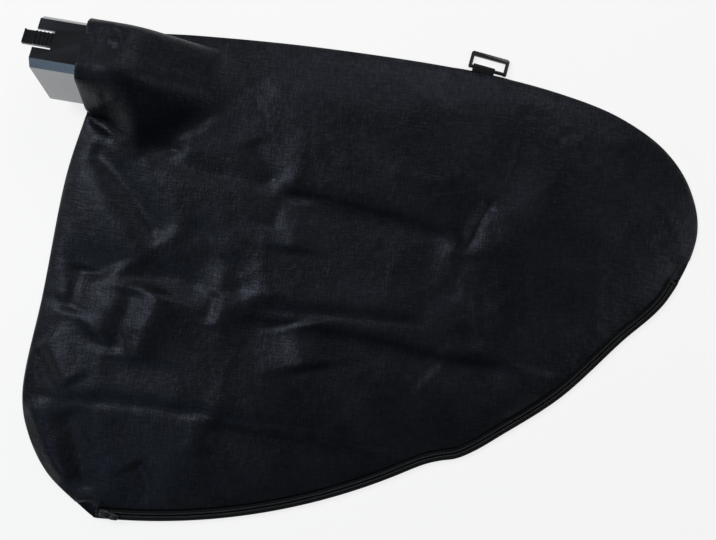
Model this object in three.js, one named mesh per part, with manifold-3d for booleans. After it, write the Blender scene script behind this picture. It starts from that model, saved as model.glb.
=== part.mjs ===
// Collection bag of a leaf vacuum, empty and lying flat on its back panel.
// Two panels of black coated cloth meet in a seam round a teardrop outline. A zip runs along
// the curved lower edge, a plastic loop hangs on the straight top edge, and the neck is
// clamped round a square plastic duct with a spring latch moulded into its mouth.
// Millimetres. +X runs along the duct into the bag, +Y to the top edge, +Z up.
import * as THREE from 'three';
import * as BufferGeometryUtils from 'three/addons/utils/BufferGeometryUtils.js';
import Module from 'manifold-3d';

const wasm = await Module();
wasm.setup();

// Cloth and clearances
const CLOTH = 1.2; // thickness of a panel
const LAYER_GAP = 0.3; // clearance between layers that touch
const LOFT = 18; // height that the front panel stands up away from its edges
const LOFT_REACH = 36; // distance from the edge over which it rises
const NECK_SLACK = 3.4; // room between the duct's flange and the cloth round it
const TENT_START = 9; // length of cloth that runs level beyond the duct's inner end
const TENT_SLOPE = 0.85; // its fall beyond that
const TENT_BLEND = 12; // height over which the tent runs out into the flat cloth
const TENT_SPREAD = 34; // distance inwards from the collar over which the arch opens into it
const TENT_SIDE = [[112, -20], [62, 24], [28, 58]]; // distance from the duct's shoulder, height
const ARCH_FOOT = -20; // level that the arch's sides aim at, below the table
const FOOT_RUN_LOW = 3; // width of the arch's foot on the side of the zip
const FOOT_RUN_HIGH = 2.2; // and on the top edge
const COLLAR_SLANT = 7; // its lower foot lies this much nearer to the mouth
const EDGE_STEP = 14; // length of one straight piece of a curved edge

// Duct
const DUCT_WIDTH = 62;
const DUCT_HEIGHT = 75;
const DUCT_CHAMFER = 7;
const DUCT_WALL = 2.2;
const DUCT_LENGTH = 92;
const DUCT_ROLL = THREE.MathUtils.degToRad(-21); // it lies on one lower chamfer
const DUCT_X = -366; // top edge of the mouth
const DUCT_Y = 167;
const MOUTH_SETBACK = 11; // how far the mouth's lower edge lies behind its top edge
const FLANGE_HEIGHT = 2;
const FLANGE_LENGTH = 3;

// Latch tongue in the duct's top wall
const LATCH_WIDTH = 16.5;
const LATCH_REACH = 11.7; // beyond the mouth
const LATCH_DEPTH = 18.5; // slots behind the mouth
const LATCH_SLOT = 2.8;
const LATCH_THICKNESS = 2.6;
const LATCH_LIP = 1.6;
const LIP_FOOT = 1.6; // thickness of the lip at its foot
const LIP_HEAD = 1.2; // and at its edge
const TONGUE_STEP = 0.1; // the tongue's top lies this much below the duct's
const RIB_COUNT = 5;
const RIB_PITCH = 4;
const RIB_WIDTH = 1.9;
const RIB_HEIGHT = 1.5;
const RIB_FIRST = 0.6; // first rib, measured from the mouth

// Band that holds the cloth on the duct, inside the neck
const BAND_WIDTH = 8;
const BAND_THICKNESS = 1.2;
const BAND_CLEARANCE = 0.4;
const BAND_INSET = 7; // behind the edge of the cloth

// Outline of the bag, seen from above, from the neck down the side and round to the neck
const DUCT_SHOW = 50; // length of the duct's top edge that the cloth leaves bare
const COLLAR_X = DUCT_X + DUCT_SHOW; // edge of the cloth round the duct
const SIDE = [[-333, 50], [-337, -80], [-341, -196]];
const CORNER = [[-327, -238], [-300, -276], [-262, -303.5]];
const ARC_CENTRE = [-283.5, 378.8]; // centre of the long arc of the lower edge
const ARC_RADIUS = 696;
const ARC_START = -86.6; // degrees
const ARC_END = -59;
const RUN_UP = [
  [108, -198], [124, -191.5], [140, -186.5], [158, -175.5], [184, -154], [242, -102], [297, -32],
];
const TIP = [[340, 23], [361, 98], [346, 146], [312, 184], [257, 212]];
const TOP = [[187, 227.5], [85, 236], [-81, 234], [-214, 225], [-270, 219]];

// Zip
const ZIP_INSET = 6.6; // centre of the teeth inside the outline
const ZIP_SHOW = 5.2; // from the centre of the teeth to the hem of the front panel
const ZIP_HOME = 13; // parked slider, measured along the edge from the start of the arc
const ZIP_START = 3;
const ZIP_END = [350, 42]; // nearest point of the outline
const TAPE_THICKNESS = 0.6;
const TAPE_INNER = 17; // width under the front panel
const COIL_WIDTH = 2;
const COIL_HEIGHT = 2;
const COIL_GAP = 1.4; // slit between the two coils, for the slider's post
const HEM_WIDTH = 1.8; // turned-up hem of the back panel
const HEM_HEIGHT = 3.6;
const HEM_LEAD = 14; // the front panel's hem lies back this far beyond both ends of the zip
const HEM_RAMP = 16; // length over which it then meets the seam
const LIFT_RAMP = 20; // length over which its edge comes down from the level of the zip
const TAPE_INSET = 0.3; // outer edge of the tape inside the outline
const STOP_LENGTH = 3;
const STOP_INSET = 0.2; // from the end of the tape
const RUN_CLEARANCE = 0.4; // round everything that the slider straddles

// Slider and pull
const SLIDER_LENGTH = 11;
const SLIDER_WIDTH = 8.4;
const SLIDER_PLATE = 1.2;
const SLIDER_FLANGE = 1.1;
const SLIDER_POST = 1;
const POST_LENGTH = 3;
const SLIDER_CLIP = 1.4; // its clipped corners
const BRIDGE_SPAN = 8.4;
const BRIDGE_WIDTH = 1.8;
const BRIDGE_RISE = 2.4;
const BRIDGE_BAR = 1;
const PULL_LENGTH = 17;
const PULL_WIDTH = 7;
const PULL_THICKNESS = 1.2;
const PULL_BAR = 1.4;
const PULL_EYE_WIDTH = 4.4;
const PULL_EYE_LENGTH = 5.6;
const PULL_TAPER = 6; // length of its narrowing tip
const PULL_TIP = 2; // how much the tip narrows on each side
const PULL_CLIP = 1;
const GRIP_LENGTH = 2.2; // hole near the tip
const GRIP_INSET = 1.5;
const PULL_SKEW = THREE.MathUtils.degToRad(-12); // it hangs a little outwards

// Hanging loop and the webbing tab that holds it
const LOOP_LENGTH = 43;
const LOOP_HEIGHT = 19;
const LOOP_THICKNESS = 3.2;
const LOOP_SIDE = 3.8;
const LOOP_TOP = 5;
const LOOP_CORNER = 2.5;
const LOOP_CLIP = 1; // corners at the bar
const LOOP_BAR_RADIUS = 2;
const LOOP_TURN = THREE.MathUtils.degToRad(-6); // against the top edge
const LOOP_X = 103.5;
const TAB_SHIFT = -5; // the tab sits towards one end of the bar
const TAB_WIDTH = 24;
const TAB_THICKNESS = 1;
const TAB_REACH = 4.7; // bar beyond the top edge
const TAB_ROOT = 13; // length sewn into the seam
const TAB_CLEARANCE = 0.4;
const TAB_LIFT = 8; // the seam stays raised this far beyond the tab's sides
const TAB_RAMP = 16; // and comes down over this length
const TAB_BEND = 110; // degrees that each half of its fold runs round the bar
const TAB_BEND_STEP = 22;

// Mesh of the front panel
const ROWS_SIDE = 24;
const ROWS_RIGHT_START = [297, -32];
const ROWS_RIGHT_END = [322, 176];
const GRID_START = [-318, -252];
const COLUMNS = 48;
const EDGE_STEPS = 240; // points of its edge that the heights are measured from
const ARCH_SPLITS = [2, 4, 1, 3, 1, 3]; // rows on each flat of the arch over the duct

// Creases and ridges of the front panel: route, height (a valley is negative) and width
const FOLDS = [
  {
    height: -7,
    width: 17,
    route: [[-300, 106], [-245, 82], [-172, 74], [-107, 77], [-55, 73], [47, 73], [112, 50]],
  },
  { height: 6, width: 15, route: [[-215, 101], [-150, 98], [-85, 100], [-20, 92], [50, 96]] },
  { height: -7, width: 15, route: [[156, 214], [152, 174], [150, 122], [132, 83], [114, 42]] },
  { height: -5, width: 13, route: [[110, 40], [106, 0], [109, -30], [92, -78]] },
  { height: 5, width: 16, route: [[128, 170], [124, 120], [100, 84], [80, 50]] },
  {
    height: -7,
    width: 15,
    route: [[-338, -36], [-290, -47], [-188, -43], [-146, -56], [-32, -61], [45, -68], [199, -80]],
  },
  { height: 7, width: 17, route: [[-300, -66], [-262, -84], [-232, -106], [-200, -120]] },
  { height: 6, width: 14, route: [[-170, -72], [-144, -76], [-68, -88], [20, -92]] },
  { height: 6, width: 18, route: [[-150, 20], [-90, 36], [-30, 34]] },
  {
    height: -7,
    width: 15,
    route: [[-341, -194], [-293, -182], [-242, -178], [-114, -186], [-12, -182], [91, -186]],
  },
  { height: 5, width: 15, route: [[-300, -206], [-236, -204], [-120, -212], [-30, -206]] },
  { height: -8, width: 22, route: [[-324, 84], [-283, 62], [-252, 28], [-217, -20]] },
  { height: 6, width: 15, route: [[-282, 96], [-238, 56], [-205, 12]] },
  { height: -5, width: 12, route: [[-187, 13], [-160, 1], [-142, -18], [-130, -48]] },
  { height: -6, width: 14, route: [[-306, -196], [-296, -232], [-284, -262]] },
  { height: 5, width: 18, route: [[170, -98], [200, -112], [232, -96]] },
];
const FOLD_FADE = 14; // folds fade within this distance of the edge
const FOLD_END = 0.18; // and over this share of their length at each end

const cloth = new THREE.MeshStandardMaterial({ color: 0x1c1f24, roughness: 0.55, metalness: 0 });
const tape = new THREE.MeshStandardMaterial({ color: 0x1a1b1e, roughness: 0.9, metalness: 0 });
const coilPlastic = new THREE.MeshStandardMaterial({ color: 0x222326, roughness: 0.45, metalness: 0 });
const ductPlastic = new THREE.MeshStandardMaterial({ color: 0x1a1c1f, roughness: 0.25, metalness: 0 });
const loopPlastic = new THREE.MeshStandardMaterial({ color: 0x17181a, roughness: 0.4, metalness: 0 });
const webbing = new THREE.MeshStandardMaterial({ color: 0x141518, roughness: 0.95, metalness: 0 });
const blackMetal = new THREE.MeshStandardMaterial({ color: 0x2a2b2d, roughness: 0.4, metalness: 0.8 });
const bandPlastic = new THREE.MeshStandardMaterial({ color: 0x222222, roughness: 0.6, metalness: 0 });

const ROOT = 0.5; // depth that a part of a moulding or casting reaches into its body
const PAST = 1; // how far a cut runs past the face that it opens

const group = new THREE.Group();

function addMesh(name, geometry, material) {
  const mesh = new THREE.Mesh(geometry, material);
  mesh.name = name;
  group.add(mesh);
  return mesh;
}

// Solids

// A closed geometry from points and triangles, turned inside out if it holds a negative volume
function closedGeometry(points, triangles) {
  let volume = 0;
  for (const [a, b, c] of triangles) {
    volume += points[a].dot(new THREE.Vector3().crossVectors(points[b], points[c]));
  }
  const index = triangles.flatMap(([a, b, c]) => (volume < 0 ? [a, c, b] : [a, b, c]));
  const geometry = new THREE.BufferGeometry().setFromPoints(points);
  geometry.setIndex(index);
  return geometry;
}

// A solid through a row of like rings, closed at both ends by a fan
function ringSolid(rings) {
  const count = rings[0].length;
  const points = rings.flat();
  const triangles = [];
  for (let ring = 0; ring + 1 < rings.length; ring += 1) {
    for (let corner = 0; corner < count; corner += 1) {
      const next = (corner + 1) % count;
      const [a, b] = [ring * count + corner, ring * count + next];
      triangles.push([a, b, b + count], [a, b + count, a + count]);
    }
  }
  const last = points.length - count;
  for (let corner = 1; corner + 1 < count; corner += 1) {
    triangles.push([0, corner + 1, corner], [last, last + corner, last + corner + 1]);
  }
  return closedGeometry(points, triangles);
}

function toManifold(geometry) {
  const bare = geometry.clone();
  bare.deleteAttribute('normal');
  bare.deleteAttribute('uv');
  const merged = BufferGeometryUtils.mergeVertices(bare, 1e-4);
  return new wasm.Manifold(new wasm.Mesh({
    numProp: 3,
    vertProperties: new Float32Array(merged.attributes.position.array),
    triVerts: new Uint32Array(merged.index.array),
  }));
}

function fromManifold(solid) {
  const mesh = solid.getMesh();
  const geometry = new THREE.BufferGeometry();
  geometry.setAttribute('position', new THREE.BufferAttribute(new Float32Array(mesh.vertProperties), 3));
  geometry.setIndex(new THREE.BufferAttribute(new Uint32Array(mesh.triVerts), 1));
  return geometry;
}

function extruded(outline, depth) {
  const shape = new THREE.Shape(outline.map(([x, y]) => new THREE.Vector2(x, y)));
  return new THREE.ExtrudeGeometry(shape, { depth, bevelEnabled: false, curveSegments: 4 });
}

// A prism along X from an outline in Y and Z
function prismX(outline, start, end) {
  const turn = new THREE.Matrix4().set(0, 0, 1, start, 1, 0, 0, 0, 0, 1, 0, 0, 0, 0, 0, 1);
  return toManifold(extruded(outline, end - start).applyMatrix4(turn));
}

// A prism along Y from an outline in X and Z
function prismY(outline, start, end) {
  const turn = new THREE.Matrix4().set(1, 0, 0, 0, 0, 0, -1, end, 0, 1, 0, 0, 0, 0, 0, 1);
  return toManifold(extruded(outline, end - start).applyMatrix4(turn));
}

// A prism along Z from an outline in X and Y
function prismZ(outline, start, end) {
  return toManifold(extruded(outline, end - start).translate(0, 0, start));
}

function block(x, y, z) {
  const geometry = new THREE.BoxGeometry(x[1] - x[0], y[1] - y[0], z[1] - z[0]);
  return toManifold(geometry.translate((x[0] + x[1]) / 2, (y[0] + y[1]) / 2, (z[0] + z[1]) / 2));
}

// Duct section: corners of the chamfered rectangle, grown outwards by an offset

function sectionCorner(side, level, onSide, offset) {
  const chamfer = DUCT_CHAMFER + offset * (2 - Math.SQRT2);
  const y = DUCT_WIDTH / 2 + offset - (onSide ? 0 : chamfer);
  const z = DUCT_HEIGHT / 2 + offset - (onSide ? chamfer : 0);
  return [side * y, level * z];
}

function section(offset) {
  return [[1, -1, true], [1, 1, true], [1, 1, false], [-1, 1, false],
    [-1, 1, true], [-1, -1, true], [-1, -1, false], [1, -1, false]]
    .map(([side, level, onSide]) => sectionCorner(side, level, onSide, offset));
}

function rolled([y, z]) {
  const [cos, sin] = [Math.cos(DUCT_ROLL), Math.sin(DUCT_ROLL)];
  return [y * cos - z * sin, y * sin + z * cos];
}

const bandOuter = BAND_CLEARANCE + BAND_THICKNESS;
const widest = section(Math.max(bandOuter, FLANGE_HEIGHT));
const sectionLow = Math.min(...widest.map((corner) => rolled(corner)[1]));
const ductZ = CLOTH + LAYER_GAP - sectionLow;

// A corner of the section in the bag's own Y and Z
function placedCorner(side, level, onSide, offset) {
  const [y, z] = rolled(sectionCorner(side, level, onSide, offset));
  return [y + DUCT_Y, z + ductZ];
}

// The arch of cloth over the duct, from its foot on the zip side to its foot on the top edge
const archOffset = FLANGE_HEIGHT + NECK_SLACK + CLOTH;
const archCorners = [
  placedCorner(-1, -1, true, archOffset),
  placedCorner(-1, 1, true, archOffset),
  placedCorner(-1, 1, false, archOffset),
  placedCorner(1, 1, false, archOffset),
  placedCorner(1, 1, true, archOffset),
];
const footLow = archCorners[0][0] - FOOT_RUN_LOW;
const footHigh = archCorners[4][0] + FOOT_RUN_HIGH;

// Outline

function arcPoint(radius, degrees) {
  const angle = THREE.MathUtils.degToRad(degrees);
  return [ARC_CENTRE[0] + radius * Math.cos(angle), ARC_CENTRE[1] + radius * Math.sin(angle)];
}

const neckFoot = [COLLAR_X - COLLAR_SLANT, footLow];
const neckHead = [COLLAR_X, footHigh];
const TANGENT_STEP = 2e-4; // share of the outline between points that give its direction

// A smooth curve through the given points
function curveThrough(points) {
  const places = points.map(([x, y]) => new THREE.Vector3(x, y, 0));
  return new THREE.CatmullRomCurve3(places, false, 'centripetal');
}

const arcStart = arcPoint(ARC_RADIUS, ARC_START);
const arcEnd = arcPoint(ARC_RADIUS, ARC_END);
const [startAngle, endAngle] = [ARC_START, ARC_END].map(THREE.MathUtils.degToRad);
const outlineCurve = new THREE.CurvePath();
outlineCurve.add(curveThrough([neckFoot, ...SIDE, ...CORNER, arcStart]));
outlineCurve.add(new THREE.ArcCurve(...ARC_CENTRE, ARC_RADIUS, startAngle, endAngle, false));
outlineCurve.add(curveThrough([arcEnd, ...RUN_UP, ...TIP, ...TOP, neckHead]));
const sideLength = outlineCurve.curves[0].getLength();
const outlineLength = outlineCurve.getLength();

// Point of the outline at a length along it, moved inwards by an inset
function edgePoint(length, inset = 0) {
  const share = THREE.MathUtils.clamp(length / outlineLength, 0, 1);
  const point = outlineCurve.getPoint(share);
  const before = outlineCurve.getPoint(Math.max(share - TANGENT_STEP, 0));
  const after = outlineCurve.getPoint(Math.min(share + TANGENT_STEP, 1));
  const along = new THREE.Vector2(after.x - before.x, after.y - before.y).normalize();
  return new THREE.Vector2(point.x - along.y * inset, point.y + along.x * inset);
}

// Length along the outline of its point nearest to a given one
function edgeLength([x, y]) {
  let best = 0;
  let least = Infinity;
  const step = 0.5;
  for (let length = 0; length <= outlineLength; length += step) {
    const point = edgePoint(length);
    const distance = Math.hypot(point.x - x, point.y - y);
    if (distance < least) {
      [best, least] = [length, distance];
    }
  }
  return best;
}

const zipStart = sideLength + ZIP_START;
const zipEnd = edgeLength(ZIP_END);
const tabLength = edgeLength([LOOP_X + TAB_SHIFT, TOP[1][1]]);

function smooth(value) {
  const t = THREE.MathUtils.clamp(value, 0, 1);
  return t * t * (3 - 2 * t);
}

// 1 between two lengths, falling to 0 over a ramp outside them
function window(length, start, end, ramp) {
  return smooth((length - start + ramp) / ramp) * smooth((end + ramp - length) / ramp);
}

// Levels of the layers at the zip, from the table up
const tapeLow = HEM_HEIGHT + LAYER_GAP;
const tapeHigh = tapeLow + TAPE_THICKNESS;
const coilLow = tapeHigh + LAYER_GAP;
const coilHigh = coilLow + COIL_HEIGHT;
const seamLevel = CLOTH + LAYER_GAP;
const tabHigh = seamLevel + 2 * TAB_THICKNESS + LAYER_GAP;

// Inset of the front panel's hem, which leaves the zip open to view
const showWidth = ZIP_INSET + ZIP_SHOW;
function hemInset(length) {
  return showWidth * window(length, zipStart - HEM_LEAD, zipEnd + HEM_LEAD, HEM_RAMP);
}

// Underside of the front panel along its edge
function edgeLevel(length) {
  const atZip = window(length, zipStart - HEM_LEAD, zipEnd + HEM_LEAD, LIFT_RAMP);
  const tabReach = TAB_WIDTH / 2 + TAB_LIFT;
  const atTab = window(length, tabLength - tabReach, tabLength + tabReach, TAB_RAMP);
  return seamLevel + atZip * (coilLow - seamLevel) + atTab * (tabHigh + LAYER_GAP - seamLevel);
}

// Front panel

const frontEdge = Array.from({ length: EDGE_STEPS + 1 }, (_, step) => {
  const length = outlineLength * step / EDGE_STEPS;
  const point = edgePoint(length, hemInset(length));
  return { x: point.x, y: point.y, level: edgeLevel(length) };
});

// Distance from a point to a route, with the share of the way along it
function toRoute(x, y, route) {
  let best = { distance: Infinity, share: 0 };
  for (let leg = 0; leg + 1 < route.length; leg += 1) {
    const [[ax, ay], [bx, by]] = [route[leg], route[leg + 1]];
    const [dx, dy] = [bx - ax, by - ay];
    const t = THREE.MathUtils.clamp(((x - ax) * dx + (y - ay) * dy) / (dx * dx + dy * dy), 0, 1);
    const distance = Math.hypot(x - ax - t * dx, y - ay - t * dy);
    if (distance < best.distance) {
      best = { distance, share: (leg + t) / (route.length - 1) };
    }
  }
  return best;
}

const edgeRoute = frontEdge.map(({ x, y }) => [x, y]);

function foldHeight(x, y) {
  let height = 0;
  for (const fold of FOLDS) {
    const { distance, share } = toRoute(x, y, fold.route);
    const ends = smooth(share / FOLD_END) * smooth((1 - share) / FOLD_END);
    height += fold.height * ends * Math.exp(-((distance / fold.width) ** 2));
  }
  return height;
}

// Height on a row of knots [y, z], straight between them
function onKnots(y, knots) {
  if (y <= knots[0][0]) return knots[0][1];
  for (let knot = 1; knot < knots.length; knot += 1) {
    const [[y0, z0], [y1, z1]] = [knots[knot - 1], knots[knot]];
    if (y <= y1) return z0 + (z1 - z0) * (y - y0) / (y1 - y0);
  }
  return knots[knots.length - 1][1];
}

// The arch at the neck stands close round the duct. Further in, the cloth hangs as a tent on
// the side of the zip.
const archAtNeck = [[footLow, ARCH_FOOT], ...archCorners, [footHigh, ARCH_FOOT]];
const shoulder = archCorners[1];
const archInside = [
  ...TENT_SIDE.map(([distance, height]) => [shoulder[0] - distance, height]),
  ...archCorners.slice(1),
  [footHigh, ARCH_FOOT],
];
const ductEnd = DUCT_X + DUCT_LENGTH;

function tentHeight(x, y) {
  const inwards = smooth((x - COLLAR_X) / TENT_SPREAD);
  const height = THREE.MathUtils.lerp(onKnots(y, archAtNeck), onKnots(y, archInside), inwards);
  return height - TENT_SLOPE * Math.max(0, x - ductEnd - TENT_START);
}

// Top of the front panel: a pillow inside the seam, with folds, and the tent over the duct
function frontHeight(x, y) {
  const { distance, share } = toRoute(x, y, edgeRoute);
  const { level } = frontEdge[Math.round(share * EDGE_STEPS)];
  const pillow = LOFT * (1 - Math.exp(-distance / LOFT_REACH));
  const folds = foldHeight(x, y) * (1 - Math.exp(-distance / FOLD_FADE));
  const flat = level + CLOTH + pillow + folds;
  const tent = tentHeight(x, y);
  const blend = Math.max(TENT_BLEND - Math.abs(flat - tent), 0);
  return Math.max(flat, tent) + blend * blend / (4 * TENT_BLEND);
}

function edgeRun(from, to, count) {
  return Array.from({ length: count + 1 }, (_, step) => {
    const length = from + (to - from) * step / count;
    return edgePoint(length, hemInset(length));
  });
}

// Rows of the mesh start on the side seam and then on the flats of the arch
function sideRows() {
  const seam = edgeRun(edgeLength(GRID_START), 0, ROWS_SIDE);
  const knots = [[footLow, 0], ...archCorners, [footHigh, 0]];
  const arch = [];
  ARCH_SPLITS.forEach((splits, flat) => {
    for (let part = 1; part <= splits; part += 1) {
      const y = THREE.MathUtils.lerp(knots[flat][0], knots[flat + 1][0], part / splits);
      arch.push(new THREE.Vector2(COLLAR_X, y));
    }
  });
  return [...seam, ...arch];
}

// Places of the mesh points: a patch blended between the four sides of the outline
function frontGrid() {
  const left = sideRows();
  const rows = left.length - 1;
  const start = edgeLength(GRID_START);
  const rightStart = edgeLength(ROWS_RIGHT_START);
  const rightEnd = edgeLength(ROWS_RIGHT_END);
  const bottom = edgeRun(start, rightStart, COLUMNS);
  const right = edgeRun(rightStart, rightEnd, rows);
  const top = edgeRun(outlineLength, rightEnd, COLUMNS);
  const grid = [];
  for (let row = 0; row <= rows; row += 1) {
    for (let column = 0; column <= COLUMNS; column += 1) {
      const [u, v] = [column / COLUMNS, row / rows];
      const along = ['x', 'y'].map((axis) => (
        (1 - v) * bottom[column][axis] + v * top[column][axis]
        + (1 - u) * left[row][axis] + u * right[row][axis]
        - (1 - u) * (1 - v) * bottom[0][axis] - u * (1 - v) * bottom[COLUMNS][axis]
        - (1 - u) * v * top[0][axis] - u * v * top[COLUMNS][axis]
      ));
      grid.push(new THREE.Vector3(along[0], along[1], frontHeight(along[0], along[1])));
    }
  }
  return { grid, rows };
}

function frontPanel() {
  const { grid, rows } = frontGrid();
  const width = COLUMNS + 1;
  const faces = [];
  for (let row = 0; row < rows; row += 1) {
    for (let column = 0; column < COLUMNS; column += 1) {
      const a = row * width + column;
      faces.push([a, a + 1, a + width + 1], [a, a + width + 1, a + width]);
    }
  }
  const skin = new THREE.BufferGeometry().setFromPoints(grid);
  skin.setIndex(faces.flat());
  skin.computeVertexNormals();
  const normals = skin.attributes.normal;
  const inner = grid.map((point, index) => (
    point.clone().addScaledVector(new THREE.Vector3().fromBufferAttribute(normals, index), -CLOTH)
  ));
  const rim = [];
  for (let column = 0; column < COLUMNS; column += 1) {
    rim.push(column);
  }
  for (let row = 0; row < rows; row += 1) {
    rim.push(row * width + COLUMNS);
  }
  for (let column = COLUMNS; column > 0; column -= 1) {
    rim.push(rows * width + column);
  }
  for (let row = rows; row > 0; row -= 1) {
    rim.push(row * width);
  }
  const below = grid.length;
  const triangles = [...faces, ...faces.map(([a, b, c]) => [a + below, c + below, b + below])];
  rim.forEach((a, place) => {
    const b = rim[(place + 1) % rim.length];
    triangles.push([a, a + below, b + below], [a, b + below, b]);
  });
  return closedGeometry([...grid, ...inner], triangles);
}

// A flat strip along the outline, between two insets and two levels
function edgeStrip(from, to, insets, levels) {
  const count = Math.max(1, Math.round(Math.abs(to - from) / EDGE_STEP));
  const rings = [];
  for (let step = 0; step <= count; step += 1) {
    const length = from + (to - from) * step / count;
    const [outer, inner] = insets.map((inset) => edgePoint(length, inset));
    rings.push([
      new THREE.Vector3(outer.x, outer.y, levels[0]),
      new THREE.Vector3(inner.x, inner.y, levels[0]),
      new THREE.Vector3(inner.x, inner.y, levels[1]),
      new THREE.Vector3(outer.x, outer.y, levels[1]),
    ]);
  }
  return ringSolid(rings);
}

// The back panel lies flat, with its edge turned up into a hem that carries the outer tape
function backPanel() {
  const count = Math.round(outlineLength / EDGE_STEP);
  const outline = [];
  for (let step = 0; step <= count; step += 1) {
    const { x, y } = edgePoint(outlineLength * step / count);
    outline.push([x, y]);
  }
  const panel = prismZ(outline, 0, CLOTH);
  const insets = [TAPE_INSET / 2, HEM_WIDTH];
  const hem = edgeStrip(zipStart - STOP_LENGTH, zipEnd + STOP_LENGTH, insets, [CLOTH / 2, HEM_HEIGHT]);
  return fromManifold(panel.add(toManifold(hem)));
}

// Duct, in its own frame: X along it from the top edge of the mouth, Z up through its top wall
function latchRibs() {
  const top = DUCT_HEIGHT / 2;
  return Array.from({ length: RIB_COUNT }, (_, rib) => {
    const x = RIB_FIRST + rib * RIB_PITCH;
    const shape = [
      [x - RIB_WIDTH / 2, top - ROOT],
      [x + RIB_WIDTH / 2, top - ROOT],
      [x + RIB_WIDTH / 2, top],
      [x + RIB_WIDTH / 4, top + RIB_HEIGHT],
      [x - RIB_WIDTH / 4, top + RIB_HEIGHT],
      [x - RIB_WIDTH / 2, top],
    ];
    return prismY(shape, -LATCH_WIDTH / 2, LATCH_WIDTH / 2);
  });
}

function duct() {
  const top = DUCT_HEIGHT / 2;
  let body = prismX(section(0), 0, DUCT_LENGTH);
  body = body.add(prismX(section(FLANGE_HEIGHT), DUCT_LENGTH - FLANGE_LENGTH, DUCT_LENGTH));
  body = body.subtract(prismX(section(-DUCT_WALL), -PAST, DUCT_LENGTH + PAST));
  const mouth = [
    [-PAST, top + PAST],
    [-PAST, -top - PAST],
    [MOUTH_SETBACK, -top - PAST],
    [MOUTH_SETBACK, -top],
    [0, top],
    [0, top + PAST],
  ];
  body = body.subtract(prismY(mouth, -DUCT_WIDTH, DUCT_WIDTH));
  for (const side of [-1, 1]) {
    const inner = side * LATCH_WIDTH / 2;
    const outer = side * (LATCH_WIDTH / 2 + LATCH_SLOT);
    const slot = [Math.min(inner, outer), Math.max(inner, outer)];
    body = body.subtract(block([-PAST, LATCH_DEPTH], slot, [top - 2 * DUCT_WALL, top + PAST]));
  }
  const tongue = [
    [LATCH_DEPTH, top - TONGUE_STEP],
    [-LATCH_REACH + LIP_FOOT, top - TONGUE_STEP],
    [-LATCH_REACH + LIP_HEAD, top + LATCH_LIP],
    [-LATCH_REACH, top + LATCH_LIP],
    [-LATCH_REACH, top - LATCH_THICKNESS],
    [LATCH_DEPTH, top - LATCH_THICKNESS],
  ];
  body = body.add(prismY(tongue, -LATCH_WIDTH / 2, LATCH_WIDTH / 2));
  for (const rib of latchRibs()) {
    body = body.add(rib);
  }
  return fromManifold(body);
}

function neckBand() {
  const start = COLLAR_X - DUCT_X + BAND_INSET;
  const ring = prismX(section(bandOuter), start, start + BAND_WIDTH);
  const hole = prismX(section(BAND_CLEARANCE), start - PAST, start + BAND_WIDTH + PAST);
  return fromManifold(ring.subtract(hole));
}

// Slider, in its own frame: X along the zip, Y towards the bag, Z up from the table
const slideLow = tapeLow - RUN_CLEARANCE;
const slideHigh = coilHigh + RUN_CLEARANCE;
const sliderTop = slideHigh + SLIDER_PLATE;
const pullAxisZ = sliderTop + RUN_CLEARANCE + PULL_THICKNESS / 2;

// A rectangle about the origin with clipped corners
function clipped(half, wide, clip) {
  return [
    [-half, -wide + clip], [-half + clip, -wide], [half - clip, -wide], [half, -wide + clip],
    [half, wide - clip], [half - clip, wide], [-half + clip, wide], [-half, wide - clip],
  ];
}

function sliderPlate(low, high) {
  return prismZ(clipped(SLIDER_LENGTH / 2, SLIDER_WIDTH / 2, SLIDER_CLIP), low, high);
}

function zipSlider() {
  const [half, wide] = [SLIDER_LENGTH / 2, SLIDER_WIDTH / 2];
  const lowPlate = CLOTH + LAYER_GAP + RUN_CLEARANCE;
  let body = sliderPlate(slideHigh, sliderTop).add(sliderPlate(lowPlate, slideLow));
  const postEnd = half - SLIDER_CLIP;
  const postSides = [-SLIDER_POST / 2, SLIDER_POST / 2];
  body = body.add(block([postEnd - POST_LENGTH, postEnd], postSides, [lowPlate, sliderTop]));
  for (const side of [-1, 1]) {
    const edges = [side * wide, side * (wide - SLIDER_FLANGE)].sort((a, b) => a - b);
    const straight = [-half + SLIDER_CLIP, half - SLIDER_CLIP];
    body = body.add(block(straight, edges, [tapeHigh + RUN_CLEARANCE, sliderTop]));
  }
  const [span, foot, under] = [BRIDGE_SPAN / 2, sliderTop - ROOT, sliderTop + BRIDGE_RISE];
  const [inner, over] = [span - BRIDGE_BAR, under + BRIDGE_BAR];
  const bridge = [
    [-span, foot], [-inner, foot], [-inner, under], [inner, under], [inner, foot],
    [span, foot], [span, under], [inner, over], [-inner, over], [-span, under],
  ];
  return fromManifold(body.add(prismY(bridge, -BRIDGE_WIDTH / 2, BRIDGE_WIDTH / 2)));
}

// Pull: a flat tab whose eye is threaded on the slider's bridge
function zipPull() {
  const wide = PULL_WIDTH / 2;
  const back = -PULL_BAR / 2;
  const end = back + PULL_LENGTH;
  const tip = wide - PULL_TIP;
  const outline = [
    [back, -wide + PULL_CLIP], [back + PULL_CLIP, -wide], [end - PULL_TAPER, -wide],
    [end - PULL_CLIP, -tip - PULL_CLIP], [end, -tip], [end, tip], [end - PULL_CLIP, tip + PULL_CLIP],
    [end - PULL_TAPER, wide], [back + PULL_CLIP, wide], [back, wide - PULL_CLIP],
  ];
  const [half, through] = [PULL_THICKNESS / 2, [-PULL_THICKNESS, PULL_THICKNESS]];
  const eyeStart = back + PULL_BAR;
  const eyeSides = [-PULL_EYE_WIDTH / 2, PULL_EYE_WIDTH / 2];
  const eye = block([eyeStart, eyeStart + PULL_EYE_LENGTH], eyeSides, through);
  const gripEnd = end - GRIP_INSET;
  const grip = block([gripEnd - GRIP_LENGTH, gripEnd], [-tip, tip], through);
  return fromManifold(prismZ(outline, -half, half).subtract(eye).subtract(grip));
}

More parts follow.
